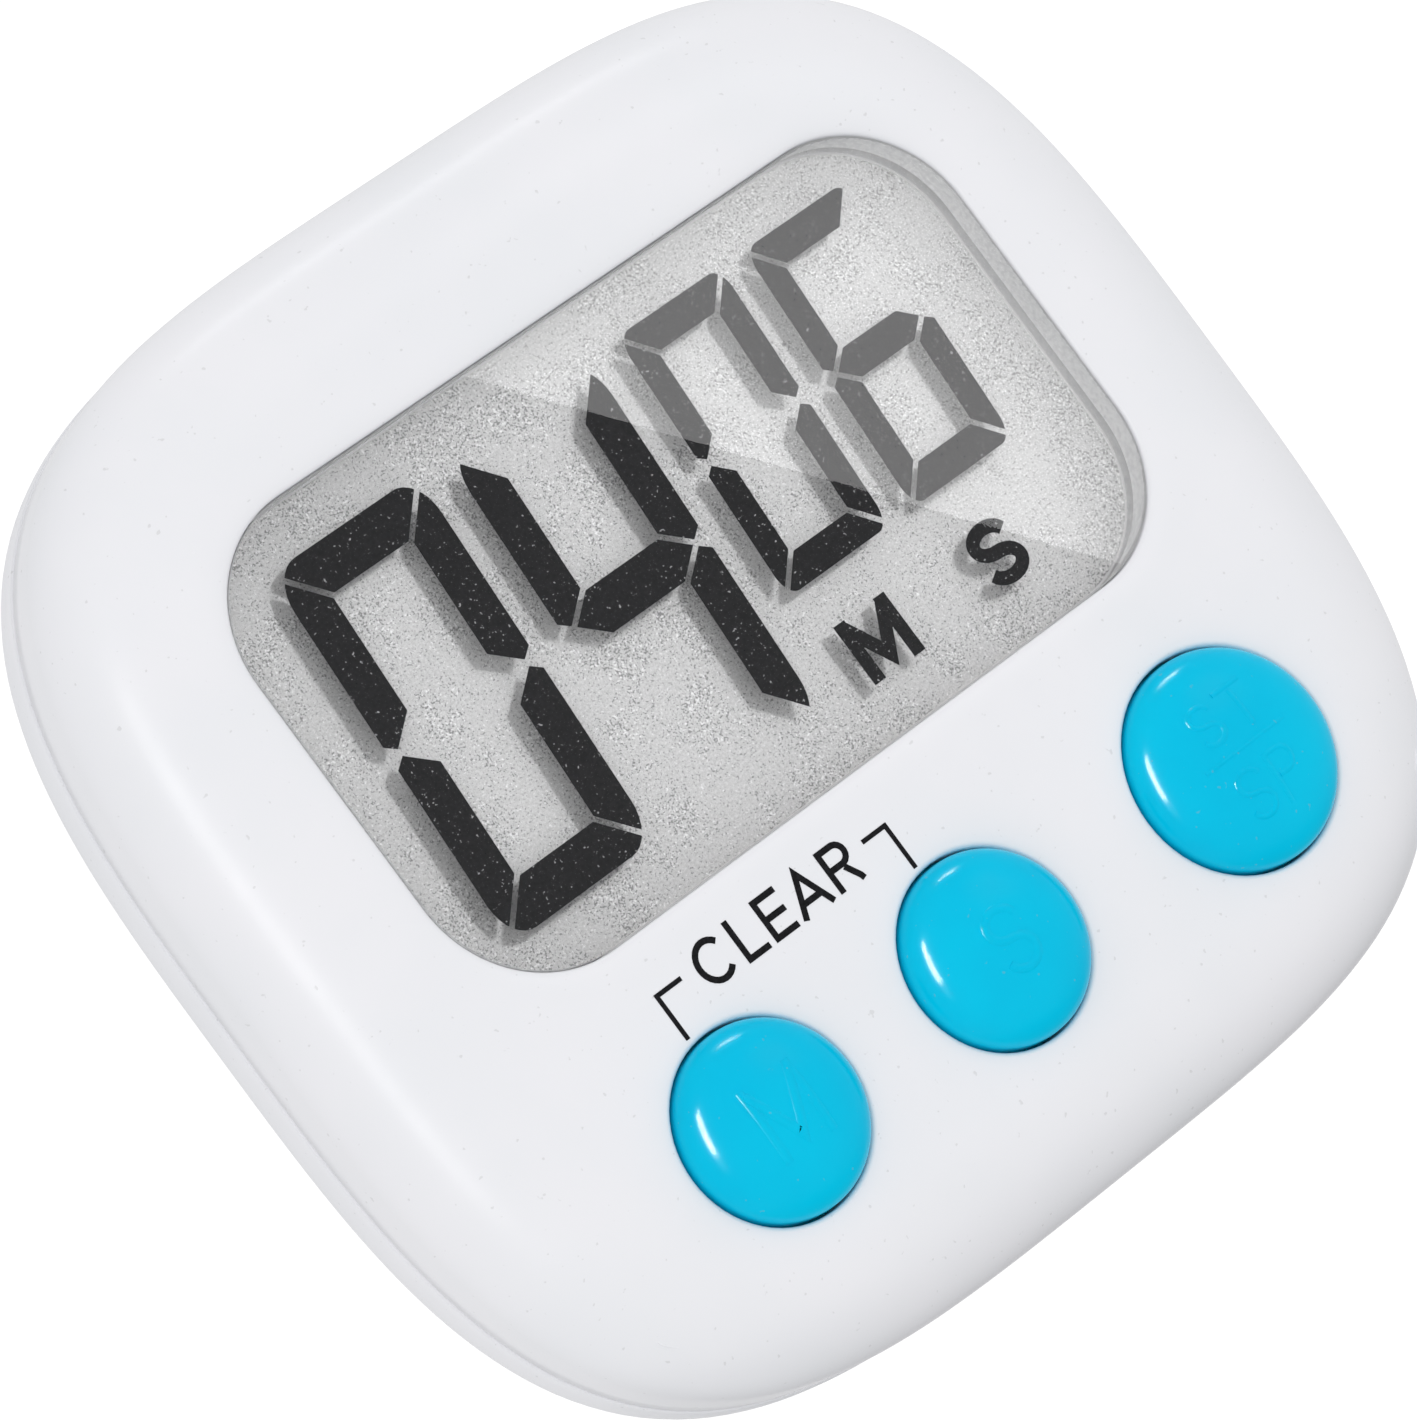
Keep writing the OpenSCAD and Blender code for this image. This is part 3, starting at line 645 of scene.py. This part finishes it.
def bail_outline(grow, corner, top):
    """U-shaped outline of the stand, grown by a gap, with its two outer corners round."""
    x, low, inner = STAND_X + grow, STAND_END - grow, STAND_X - STAND_ARM - grow
    turns = [math.pi / 2 * i / 12 for i in range(13)]
    left = [(-x + corner - corner * math.cos(t), low + corner - corner * math.sin(t)) for t in turns]
    right = [(-px, py) for px, py in left[::-1]]
    inside_y = STAND_END + STAND_ARM + grow
    r = corner - STAND_ARM if corner > STAND_ARM + 0.5 else 1.2
    bend = [(inner - r + r * math.cos(t), inside_y + r - r * math.sin(t)) for t in turns]
    other = [(-px, py) for px, py in bend[::-1]]
    return [(-x, top), *left, *right, (x, top), (inner, top), *bend, *other, (-inner, top)]


def solid_object(shape):
    obj = bpy.data.objects.new("solid", shape.mesh("solid"))
    bpy.context.scene.collection.objects.link(obj)
    return obj


def cut(target, tools):
    """Cuts solids from the target object, one after another, and uses them up."""
    for tool in tools:
        step = target.modifiers.new("step", "BOOLEAN")
        step.operation = "DIFFERENCE"
        step.solver = "EXACT"
        step.object = tool
        graph = bpy.context.evaluated_depsgraph_get()
        made = bpy.data.meshes.new_from_object(target.evaluated_get(graph))
        target.modifiers.clear()
        old = target.data
        target.data = made
        bpy.data.meshes.remove(old)
        bpy.data.objects.remove(tool)


def back_cover():
    """The outside less what is left of the cavity when the blocks are taken out of it, then the cuts."""
    cavity = solid_object(back_solid(WALL, BACK_FLOOR))
    cut(cavity, [solid_object(block) for block in back_blocks()])
    obj = solid_object(back_solid(0, 0))
    cut(obj, [cavity])
    cut(obj, [solid_object(tool) for tool in back_cuts()])
    mesh = obj.data
    mesh.name = "back_case"
    bpy.data.objects.remove(obj)
    smooth(mesh, 30)
    return piece("back_case", mesh, "back_white", "case", ["back_cover"])


def back_blocks():
    """What stands inside the back: roofs over the pockets, the battery well and the buzzer ring."""
    roof = GROOVE_H + 1.2
    side, low = STAND_X + GROOVE_GAP + 1.2, STAND_END - 1.5
    inner = STAND_X - STAND_ARM - GROOVE_GAP - 1.2
    depth = 0.3
    return [
        brick((-side, low, depth), (-inner, HINGE_Y + 2.4, roof)),
        brick((inner, low, depth), (side, HINGE_Y + 2.4, roof)),
        brick((-side + 0.5, low, depth), (side - 0.5, STAND_END + STAND_ARM + 1.2, roof - 0.01)),
        magnet_brick(1.5, depth, MAGNET_HIGH[2] + 1.2),
        post(DOOR[:2], DOOR_R + 1.2, depth, 4.4),
        post(DOOR[:2], CELL_R + 1.3, depth, CELL_TOP - 0.1),
        post(BUZZER[:2], DISC_R + 0.7, depth, DISC_Z + 0.6),
    ]


def back_cuts():
    """Pockets and holes of the back cover."""
    cuts = [
        post(BUZZER[:2], DISC_R + 0.1, DISC_Z, DISC_Z + 2),
        post(BUZZER[:2], DISC_R - 0.8, BACK_FLOOR, DISC_Z + 1.5),
        prism(bail_outline(GROOVE_GAP, 5.0, HINGE_Y + 1.5), -1, GROOVE_H),
        magnet_brick(0.1, -1, MAGNET_HIGH[2]),
        post(DOOR[:2], DOOR_R + 0.2, -1, 1.45, 96),
        post(DOOR[:2], 6.88, -1, 2.3, 96),
        post(DOOR[:2], CELL_R + 0.2, -1.1, CELL_TOP + 1),
    ]
    sound = (8.8, -6.5)
    cuts.append(post(sound, 0.6, -1, BACK_FLOOR + 1, 24))
    for i in range(6):
        turn = math.pi / 3 * i
        place = sound[0] + 3.2 * math.cos(turn), sound[1] + 3.2 * math.sin(turn)
        cuts.append(post(place, 0.6, -1, BACK_FLOOR + 1, 24))
    for place in screw_places("case_screws"):
        cuts.append(post(place, 2.15, -1, 3.6, 48))
    cuts.append(finger_dip())
    return cuts


def finger_dip():
    """Shallow scoop beside the stand's free end, for a fingernail."""
    shape = Shape()
    rings = []
    y = STAND_END - GROOVE_GAP + 0.2
    around = np.linspace(0, 2 * math.pi, 41)[:-1]
    for turn in arc(8)[:-1]:
        w, l, z = 5.0 * math.cos(turn), 2.4 * math.cos(turn), 1.5 * math.sin(turn)
        rings.append([(w * math.cos(a), y + l * math.sin(a), z) for a in around])
    rings.insert(0, [(x, y, -1) for x, y, _ in rings[0]])
    shape.solid(rings)
    return shape


# ---- Window and display ----


def window_lens():
    """Clear window: a flange behind the face and a plug with softened edges."""
    def ring(offset, z):
        return rounded_rect(WINDOW_W, WINDOW_H, WINDOW_R, z, offset, (0, WINDOW_Y))
    low, high = LENS_LOW[2], LENS_HIGH[2]
    soft = 0.1
    levels = [(LENS_FLANGE - soft, low), (LENS_FLANGE, low + soft), (LENS_FLANGE, CEILING), (-LENS_GAP, CEILING)]
    levels += [(-LENS_GAP, high - soft), (-LENS_GAP - 0.3 * soft, high - 0.3 * soft), (-LENS_GAP - soft, high)]
    levels += [(-LENS_GAP - 2 * soft, high)]
    shape = Shape()
    shape.solid([ring(*level) for level in levels])
    return piece("window", shape.mesh("window", 50), "clear_lens", "case", ["window_lens"])


def window_ring(name, inner, outer, material):
    """Thin flat ring between the window and the display, between two offsets from the opening."""
    low, high = LENS_LOW[2] - 0.045, LENS_LOW[2] - 0.005
    shape = Shape()
    rings = shape.strip([
        rounded_rect(WINDOW_W, WINDOW_H, WINDOW_R, z, offset, (0, WINDOW_Y))
        for offset, z in ((inner, low), (outer, low), (outer, high), (inner, high))
    ])
    shape.bridge(rings[-1], rings[0])
    return piece(name, shape.mesh(name), material, "case")


SEGMENT_Z = GLASS_HIGH[2]
SEGMENT_T = 0.04
SEGMENT_GAP = 0.15
DIGIT_SLANT = 0.062
LIT = {"0": "ABCDEF", "4": "BCFG", "6": "ACDEFG"}


def shrink(polygon, gap):
    """Convex polygon, counter-clockwise, with every side moved in by gap."""
    lines = []
    for a, b in zip(polygon, polygon[1:] + polygon[:1]):
        dx, dy = b[0] - a[0], b[1] - a[1]
        size = math.hypot(dx, dy)
        nx, ny = -dy / size, dx / size
        lines.append((nx, ny, nx * a[0] + ny * a[1] + gap))
    points = []
    for (a, b, c), (d, e, f) in zip(lines[-1:] + lines[:-1], lines):
        det = a * e - b * d
        points.append(((c * e - b * f) / det, (a * f - c * d) / det))
    return points


def segment_shapes(w, h, upright, across, round_x, round_y, tip):
    """Outlines of a digit's seven segments, by their usual letters, counter-clockwise."""
    mid = h / 2

    def corner(start, end):
        """Points along the rounded top left corner, by angles from the side of the digit."""
        turns = np.radians(np.linspace(start, end, 5))
        return [(round_x * (1 - math.cos(t)), h - round_y * (1 - math.sin(t))) for t in turns]

    def right(polygon):
        return [(w - x, y) for x, y in polygon[::-1]]

    def lower(polygon):
        return [(x, h - y) for x, y in polygon[::-1]]
    left_end = [*corner(90, 45), (upright, h - across)]
    top = left_end + right(left_end)
    upper_left = [
        *corner(45, 0), (0, mid + 0.75 * tip), (tip, mid), (upright, mid + across / 2), (upright, h - across),
    ]
    centre = [
        (tip, mid), (upright, mid - across / 2), (w - upright, mid - across / 2), (w - tip, mid),
        (w - upright, mid + across / 2), (upright, mid + across / 2),
    ]
    return {
        "A": top, "F": upper_left, "B": right(upper_left), "G": centre,
        "E": lower(upper_left), "C": lower(right(upper_left)), "D": lower(top),
    }


def add_digit(shape, figure, origin, w, h, upright, across, round_x, round_y, tip):
    shapes = segment_shapes(w, h, upright, across, round_x, round_y, tip)
    for letter in LIT[figure]:
        loop = [
            (origin[0] + x + DIGIT_SLANT * y, origin[1] + y)
            for x, y in shrink(shapes[letter], SEGMENT_GAP)
        ]
        shape.solid([[(x, y, SEGMENT_Z) for x, y in loop], [(x, y, SEGMENT_Z + SEGMENT_T) for x, y in loop]])


def stroke(shape, path, width, low, high, soft=0.0):
    """Flat ribbon along a path, with mitred bends; low and high are numbers or functions of x and y."""
    path = [np.array(p, float) for p in path]
    count = len(path)
    sides = []
    for i, p in enumerate(path):
        ahead = path[i + 1] - p if i < count - 1 else p - path[i - 1]
        behind = p - path[i - 1] if i else ahead
        ahead, behind = ahead / np.linalg.norm(ahead), behind / np.linalg.norm(behind)
        along = ahead + behind
        along /= np.linalg.norm(along)
        normal = np.array([-along[1], along[0]])
        stretch = min(1 / max(0.25, abs(normal @ np.array([-ahead[1], ahead[0]]))), 2.5)
        sides.append((p, normal * stretch))

    def at(x, y, z):
        return (x, y, z(x, y) if callable(z) else z)
    rings = []
    half = width / 2
    for k, (p, normal) in enumerate(sides):
        a, b = p - normal * half, p + normal * half
        c, d = p + normal * (half - soft), p - normal * (half - soft)
        lowered = soft * 0.8
        ring = [at(*a, low), at(*b, low)]
        if soft:
            ring += [(*at(*b, high)[:2], at(*b, high)[2] - lowered), at(*c, high), at(*d, high),
                     (*at(*a, high)[:2], at(*a, high)[2] - lowered)]
        else:
            ring += [at(*b, high), at(*a, high)]
        rings.append(ring)
    shape.solid(rings)


def bow(cx, cy, rx, ry, start, end, steps=14):
    """Points along part of an ellipse, by angles in degrees."""
    turns = np.radians(np.linspace(start, end, steps + 1))
    return [(cx + rx * math.cos(t), cy + ry * math.sin(t)) for t in turns]


def letter(kind, x, y, w, h, pen):
    """Centrelines of a plain capital letter whose outside is w by h, from its lower left corner."""
    l, r, b, t = x + pen / 2, x + w - pen / 2, y + pen / 2, y + h - pen / 2
    m = (b + t) / 2
    cx, rx, ry = (l + r) / 2, (r - l) / 2, (t - b) / 2
    low, top = y, y + h
    if kind == "C":
        return [bow(cx, m, rx, ry, 42, 318, 22)]
    if kind == "L":
        return [[(l, top), (l, b), (r + pen / 2, b)]]
    if kind == "E":
        outer = [(r + pen / 2, t), (l, t), (l, b), (r + pen / 2, b)]
        return [outer, [(l + pen / 2, m), (r + 0.3 * pen, m)]]
    if kind == "A":
        bar = y + 0.3 * h
        reach = (rx + pen / 4) * (1 - 0.3) - pen * 0.45
        legs = [(l - pen / 4, low), (cx, top - 0.6 * pen), (r + pen / 4, low)]
        return [legs, [(cx - reach, bar), (cx + reach, bar)]]
    if kind in "RP":
        bend = (t - m) / 2
        turned = bow(r - bend, t - bend, bend, bend, 80, -80, 8)
        bowl = [(l, low), (l, t), (r - bend, t), *turned, (r - bend, m), (l + pen / 2, m)]
        leg = [(cx + 0.1 * w, m - pen / 2), (r - pen * 0.1, low + 0.7 * pen), (r + 0.1 * pen, low)]
        return [bowl, leg] if kind == "R" else [bowl]
    if kind == "T":
        return [[(x, t), (x + w, t)], [(cx, t - pen / 2), (cx, low)]]
    if kind == "M":
        inner_l, inner_r, foot = l + 0.1 * pen, r - 0.1 * pen, (cx, y + 1.15 * pen)
        return [[(l, low), (l, top)], [(r, low), (r, top)], [(inner_l, t), foot, (inner_r, t)]]
    if kind == "S":
        bend = (t - b) / 4
        upper = bow(cx, t - bend, rx, bend, 14, 270, 18)
        lower = bow(cx, b + bend, rx, bend, 90, -166, 18)
        return [upper + lower[1:]]
    return []


def add_word(shape, letters, y, h, pen, low, high, soft=0.0):
    """Letters given as (kind, left edge, right edge)."""
    for kind, left, right in letters:
        for i, path in enumerate(letter(kind, left, y, right - left, h, pen)):
            stroke(shape, path, pen, low, high + 0.004 * i, soft)


def display_digits():
    shape = Shape()
    tall = dict(w=9.65, h=20.87, upright=2.4, across=2.7, round_x=1.7, round_y=2.3, tip=0.75)
    small = dict(w=7.25, h=15.3, upright=1.75, across=2.0, round_x=0.9, round_y=1.4, tip=0.6)
    add_digit(shape, "0", (-19.61, -3.84), **tall)
    add_digit(shape, "4", (-8.39, -3.84), **tall)
    add_digit(shape, "0", (3.28, 1.73), **small)
    add_digit(shape, "6", (11.91, 1.73), **small)
    mesh = shape.mesh("display_digits")
    return piece("display_digits", mesh, "display_black", "case")


def display_unit_letters():
    shape = Shape()
    letters = [("M", 4.42, 7.85), ("S", 13.0, 15.76)]
    add_word(shape, letters, -3.98, 3.43, 0.72, SEGMENT_Z, SEGMENT_Z + SEGMENT_T)
    mesh = shape.mesh("display_unit_letters")
    return piece("display_unit_letters", mesh, "display_black", "case")


# ---- Printing on the face ----


def clear_legend():
    """Plain word over the two small buttons, with a bracket to each: both together clear the count."""
    shape = Shape()
    low, high = FACE - 0.01, FACE + 0.02
    word = [
        ("C", -14.0, -11.88), ("L", -11.52, -10.06), ("E", -9.71, -8.18), ("A", -7.83, -5.83), ("R", -5.43, -3.76),
    ]
    add_word(shape, word, -11.0, 2.33, 0.32, low, high)
    for start, side in ((-14.88, -16.46), (-2.89, -1.36)):
        stroke(shape, [(start, -9.6), (side, -9.6), (side, -12.08)], 0.24, low, high)
    return piece("face_printing", shape.mesh("face_printing"), "printed_ink", "case")


# ---- Buttons ----

CAP_RISE = box("button_m")[1][2] - FACE
CAP_LOW, CAP_BARREL = box("button_m")[0][2], FACE - 2.0


def cap_height(at):
    """Height of a cap's pebble-shaped top."""
    def height(x, y):
        share = min(1.0, math.hypot(x - at[0], y - at[1]) / at[2])
        return FACE + CAP_RISE * (1 - share ** 2.5) ** (1 / 2.1)
    return height


def revolve(shape, at, profile, count=96):
    """Closed solid of revolution from (radius, z) points that start and end on the axis."""
    rings = [circle(at, r, z, count) for r, z in profile[1:-1]]
    indexes = shape.strip(rings)
    for ring, (_, z) in ((indexes[0], profile[0]), (indexes[-1], profile[-1])):
        pole = shape.ring([(at[0], at[1], z)])[0]
        shape.faces += [(ring[i], ring[(i + 1) % count], pole) for i in range(count)]


def cap_profile(at):
    """Outline of a cap's section: the top, the flange under the face, and the hollow with its stem."""
    height = cap_height((0, 0, at[2]))
    shares = [0.06, 0.15, 0.25, 0.35, 0.45, 0.55, 0.64, 0.72, 0.79, 0.85, 0.9, 0.94, 0.97, 0.988, 0.997, 1.0]
    r = at[2]
    top = [(0, FACE + CAP_RISE)] + [(r * s, height(r * s, 0)) for s in shares]
    flange_top, flange_low = CEILING - 0.2, CEILING - 1.1
    wide = r + CAP_FLANGE
    under = [(r, flange_top), (wide - 0.1, flange_top), (wide, flange_top - 0.1), (wide, flange_low)]
    hollow = [
        (r - 1.1, flange_low), (r - 1.1, FACE - 0.4), (2.2, FACE - 0.4), (2.2, CAP_LOW + 0.1), (2.1, CAP_LOW),
        (0, CAP_LOW),
    ]
    return top + under + hollow


def cap_lettering(shape, at, letters):
    height = cap_height(at)
    for kind, x, y, w, h, pen in letters:
        for i, path in enumerate(letter(kind, at[0] + x, at[1] + y, w, h, pen)):
            rise = 0.045 + 0.008 * i
            stroke(
                shape, finer(path, 0.25), pen,
                lambda x, y: height(x, y) - 0.1, lambda x, y, rise=rise: height(x, y) + rise, 0.14,
            )


def finer(path, step):
    """The path with points added so that none are further apart than step."""
    points = [path[0]]
    for a, b in zip(path, path[1:]):
        parts = max(1, math.ceil(math.dist(a, b) / step))
        shares = [i / parts for i in range(1, parts + 1)]
        points += [(a[0] + (b[0] - a[0]) * share, a[1] + (b[1] - a[1]) * share) for share in shares]
    return points


CAP_LETTERS = {
    "minutes_button": [("M", -1.75, -2.0, 3.5, 4.0, 0.62)],
    "seconds_button": [("S", -1.25, -1.88, 2.5, 3.76, 0.62)],
    "start_stop_button": [
        ("S", -2.0, 0.8, 1.8, 2.5, 0.45), ("T", 0.15, 0.8, 1.9, 2.5, 0.45),
        ("S", -2.0, -3.4, 1.9, 2.9, 0.45), ("P", 0.15, -3.4, 1.9, 2.9, 0.45),
    ],
}


def button_cap(body, node):
    at = BUTTONS[body]
    shape = Shape()
    revolve(shape, at[:2], cap_profile(at))
    cap_lettering(shape, at, CAP_LETTERS[body])
    if body == "start_stop_button":
        height = cap_height(at)
        line = finer([(at[0] - 2.75, at[1] + 0.2), (at[0] + 2.75, at[1] + 0.2)], 0.25)
        stroke(shape, line, 0.35, lambda x, y: height(x, y) - 0.1, lambda x, y: height(x, y) + 0.035, 0.12)
    return piece(node + "_cap", shape.mesh(node + "_cap", 50), "button_cyan", body, [node])


# ---- Rounded copies of CAD nodes ----


def flat_shaded(mesh):
    """The mesh with its large faces shaded flat and only the narrow ones between them blended."""
    obj = bpy.data.objects.new("shaded", mesh)
    bpy.context.scene.collection.objects.link(obj)
    obj.modifiers.new("weights", "WEIGHTED_NORMAL").keep_sharp = True
    graph = bpy.context.evaluated_depsgraph_get()
    made = bpy.data.meshes.new_from_object(obj.evaluated_get(graph))
    bpy.data.objects.remove(obj)
    bpy.data.meshes.remove(mesh)
    return made


def rounded_copy(name, node, width, material, body, segments=2):
    """The CAD node's own shape with its sharp edges rounded."""
    work = bmesh.new()
    work.from_mesh(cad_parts[node].data)
    bmesh.ops.remove_doubles(work, verts=work.verts, dist=1e-6)
    bmesh.ops.dissolve_limit(work, angle_limit=math.radians(1), verts=work.verts, edges=work.edges)
    sharp = [e for e in work.edges if len(e.link_faces) == 2 and e.calc_face_angle(0) > math.radians(35)]
    bmesh.ops.bevel(
        work, geom=sharp, offset=width * MM, segments=segments, profile=0.5, affect="EDGES",
        offset_type="OFFSET", clamp_overlap=True,
    )
    mesh = bpy.data.meshes.new(name)
    work.to_mesh(mesh)
    work.free()
    smooth(mesh, 35)
    return piece(name, flat_shaded(mesh), material, body, [node])


# ---- Finishes of the CAD nodes that stay ----

NODE_FINISH = {
    "lcd_frame": "frame_white", "lcd_front_polarizer": "polarizer", "lcd_front_glass": "display_glass",
    "lcd_rear_glass": "display_ground", "lcd_reflector": "reflector", "zebra_strip": "zebra_rubber",
    "circuit_board": "board_green", "keypad": "silicone", "contact_pill_m": "carbon",
    "contact_pill_s": "carbon", "contact_pill_st_sp": "carbon", "chip_blob": "black_resin",
    "crystal": "steel", "chip_capacitors": "component", "boost_inductor": "ferrite",
    "transistor": "black_resin", "piezo_disc": "brass", "piezo_ceramic": "piezo_white",
    "buzzer_wires": "wire_insulation", "button_cell": "steel", "positive_contact": "steel",
    "negative_contact": "steel", "board_screws": "steel", "case_screws": "steel",
}


def finish_nodes():
    for node, material in NODE_FINISH.items():
        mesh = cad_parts[node].data
        mesh.materials.clear()
        mesh.materials.append(MATERIALS[material])
        smooth(mesh, 30)


# ---- Studio ----


def direction(azimuth, elevation):
    a, e = math.radians(azimuth), math.radians(elevation)
    return Vector((math.sin(a) * math.cos(e), -math.cos(a) * math.cos(e), math.sin(e)))


def add_camera():
    back = direction(CAMERA_AZIMUTH, CAMERA_ELEVATION)
    level = (-back).cross(Vector((0, 0, 1))).normalized()
    tilt = level.cross(-back)
    roll = math.radians(CAMERA_ROLL)
    right = level * math.cos(roll) + tilt * math.sin(roll)
    up = back.cross(right)
    aim = Vector((*CAMERA_AIM, FACE))
    place = (aim + back * CAMERA_DISTANCE) * MM
    camera = bpy.data.objects.new("camera", bpy.data.cameras.new("camera"))
    camera.data.lens = CAMERA_LENS
    camera.data.sensor_width = 36
    camera.data.clip_start = 0.01
    camera.matrix_world = Matrix.Translation(place) @ Matrix((right, up, back)).transposed().to_4x4()
    bpy.context.scene.collection.objects.link(camera)
    bpy.context.scene.camera = camera


def gathered(name, pieces):
    """A collection of some pieces, for a light to be linked to."""
    collection = bpy.data.collections.new(name)
    for obj in pieces:
        collection.objects.link(obj)
    return collection


def add_light(name, toward, distance, size, radiance, side, only=None, shadows=None, glossy=True, diffuse=True):
    """Rectangular soft light in a direction from the face's middle; side is the way its first size runs.
    A light with only shines on those pieces, and with shadows only those pieces cast one."""
    light = bpy.data.lights.new(name, "AREA")
    light.shape = "RECTANGLE"
    light.size, light.size_y = size[0] * MM, size[1] * MM
    light.energy = radiance * math.pi * light.size * light.size_y
    obj = bpy.data.objects.new(name, light)
    back = Vector(toward).normalized()
    place = (Vector((0, 0, FACE)) + back * distance) * MM
    first = Vector(side)
    first = (first - back * first.dot(back)).normalized()
    obj.matrix_world = Matrix.Translation(place) @ Matrix((first, back.cross(first), back)).transposed().to_4x4()
    obj.visible_glossy = glossy
    obj.visible_diffuse = diffuse
    if only:
        obj.light_linking.receiver_collection = gathered(name + "_lit", only)
    if shadows:
        obj.light_linking.blocker_collection = gathered(name + "_shadows", shadows)
    bpy.context.scene.collection.objects.link(obj)
    return obj


def add_window_glare(window):
    """Softbox whose mirror image covers the window's upper right, up to a slanting edge."""
    edge = Vector((182.3, 18.9, 315))
    along = Vector((0.670, -0.742, 0))
    out = Vector((0.742, 0.670, 0))
    long, deep = 170, 110
    place = edge + out * deep / 2
    light = add_light("glare", (0, 0, 1), 0, (long, deep), 8.4, along, [window])
    light.matrix_world.translation = place * MM


def add_lights(window, caps, segments):
    """Soft daylight from the right and left, and strips that only the caps or the display take."""
    add_window_glare(window)
    add_light("key", (0.62, 0.3, 0.72), 420, (150, 150), 2.5, (1, 0, 0), glossy=False)
    add_light("over_camera", (-0.6, 0.1, 0.8), 420, (90, 260), 3.2, (1, 0, 0.7))
    add_light("low_card", (-0.45, -0.9, 0.1), 300, (300, 300), 0.45, (0, 0, 1), glossy=False)
    add_light("left_strip", (-0.56, 0.3, 0.78), 400, (60, 230), 150.0, (1, 0, 0.7), caps, diffuse=False)
    add_light("cap_strip", (0.43, 0.83, 0.36), 400, (110, 26), 80.0, (0.89, -0.45, 0), caps, diffuse=False)
    add_light("top_strip", (0.44, 0.85, 0.27), 400, (170, 26), 4.0, (0.89, -0.45, 0), diffuse=False)
    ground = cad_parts["lcd_rear_glass"]
    add_light("display", (0.36, 0.15, 0.92), 300, (40, 40), 80.0, (1, 0, 0), [ground], segments, glossy=False)


def add_world():
    """Even studio white, darker low down past the button end."""
    world = bpy.data.worlds.new("studio")
    world.use_nodes = True
    tree = world.node_tree
    back = tree.nodes["Background"]
    back.inputs["Color"].default_value = (0.988, 0.99, 1.0, 1)
    way = tree.nodes.new("ShaderNodeTexCoord")
    dot = tree.nodes.new("ShaderNodeVectorMath")
    dot.operation = "DOT_PRODUCT"
    dot.inputs[1].default_value = (-0.25, 0.94, 0.22)
    level = tree.nodes.new("ShaderNodeMapRange")
    for key, value in (("From Min", -0.8), ("From Max", -0.55), ("To Min", 0.3), ("To Max", 0.84)):
        level.inputs[key].default_value = value
    tree.links.new(way.outputs["Generated"], dot.inputs[0])
    tree.links.new(dot.outputs["Value"], level.inputs["Value"])
    tree.links.new(level.outputs["Result"], back.inputs["Strength"])
    scene = bpy.context.scene
    scene.world = world
    scene.view_settings.view_transform = "Standard"
    scene.cycles.transparent_max_bounces = 16


def add_floor():
    """Pale, faintly glowing floor, low enough to clear the unfolded stand, seen from above only."""
    n = Nodes("floor")
    glow = n.add("ShaderNodeEmission", {"Color": (1, 1, 1, 1), "Strength": 0.97})
    matt = n.add("ShaderNodeBsdfDiffuse", {"Color": (0.12, 0.12, 0.12, 1)})
    both = n.add("ShaderNodeAddShader", {0: glow.outputs[0], 1: matt.outputs[0]})
    clear = n.add("ShaderNodeBsdfTransparent")
    under = n.add("ShaderNodeNewGeometry").outputs["Backfacing"]
    sides = n.add("ShaderNodeMixShader", {0: under, 1: both.outputs[0], 2: clear.outputs[0]})
    material = n.finish(sides.outputs[0])
    shape = Shape()
    shape.cap(shape.ring(circle((0, 0), 3000, -45, 64)))
    mesh = shape.mesh("floor")
    if mesh.polygons[0].normal.z < 0:
        mesh.flip_normals()
    mesh.materials.append(material)
    floor = bpy.data.objects.new("floor", mesh)
    floor.visible_diffuse = False
    floor.visible_glossy = False
    bpy.context.scene.collection.objects.link(floor)


add_camera()
add_world()
add_floor()
finish_nodes()
front_shell()
back_cover()
window = window_lens()
# Painted shade: a grey ring under the window's edge, standing for the shade beside the window's wall.
window_ring("window_shade_ring", 0.0, 1.0, "painted_shade_grey")
# Painted highlight: a thin white ring inside the opening, standing for the bright line along the window's edge.
window_ring("window_highlight_ring", -0.13, -0.01, "frame_white")
segments = [display_digits(), display_unit_letters()]
clear_legend()
caps = [button_cap(body, node) for body, node in zip(BUTTONS, ("button_m", "button_s", "button_st_sp"))]
add_lights(window, caps, segments)
rounded_copy("rear_stand", "stand", 0.35, "case_white", "stand", 3)
rounded_copy("battery_cover", "battery_door", 0.2, "case_white", "battery_door")
rounded_copy("block_magnet", "magnet", 0.2, "ferrite", "case")
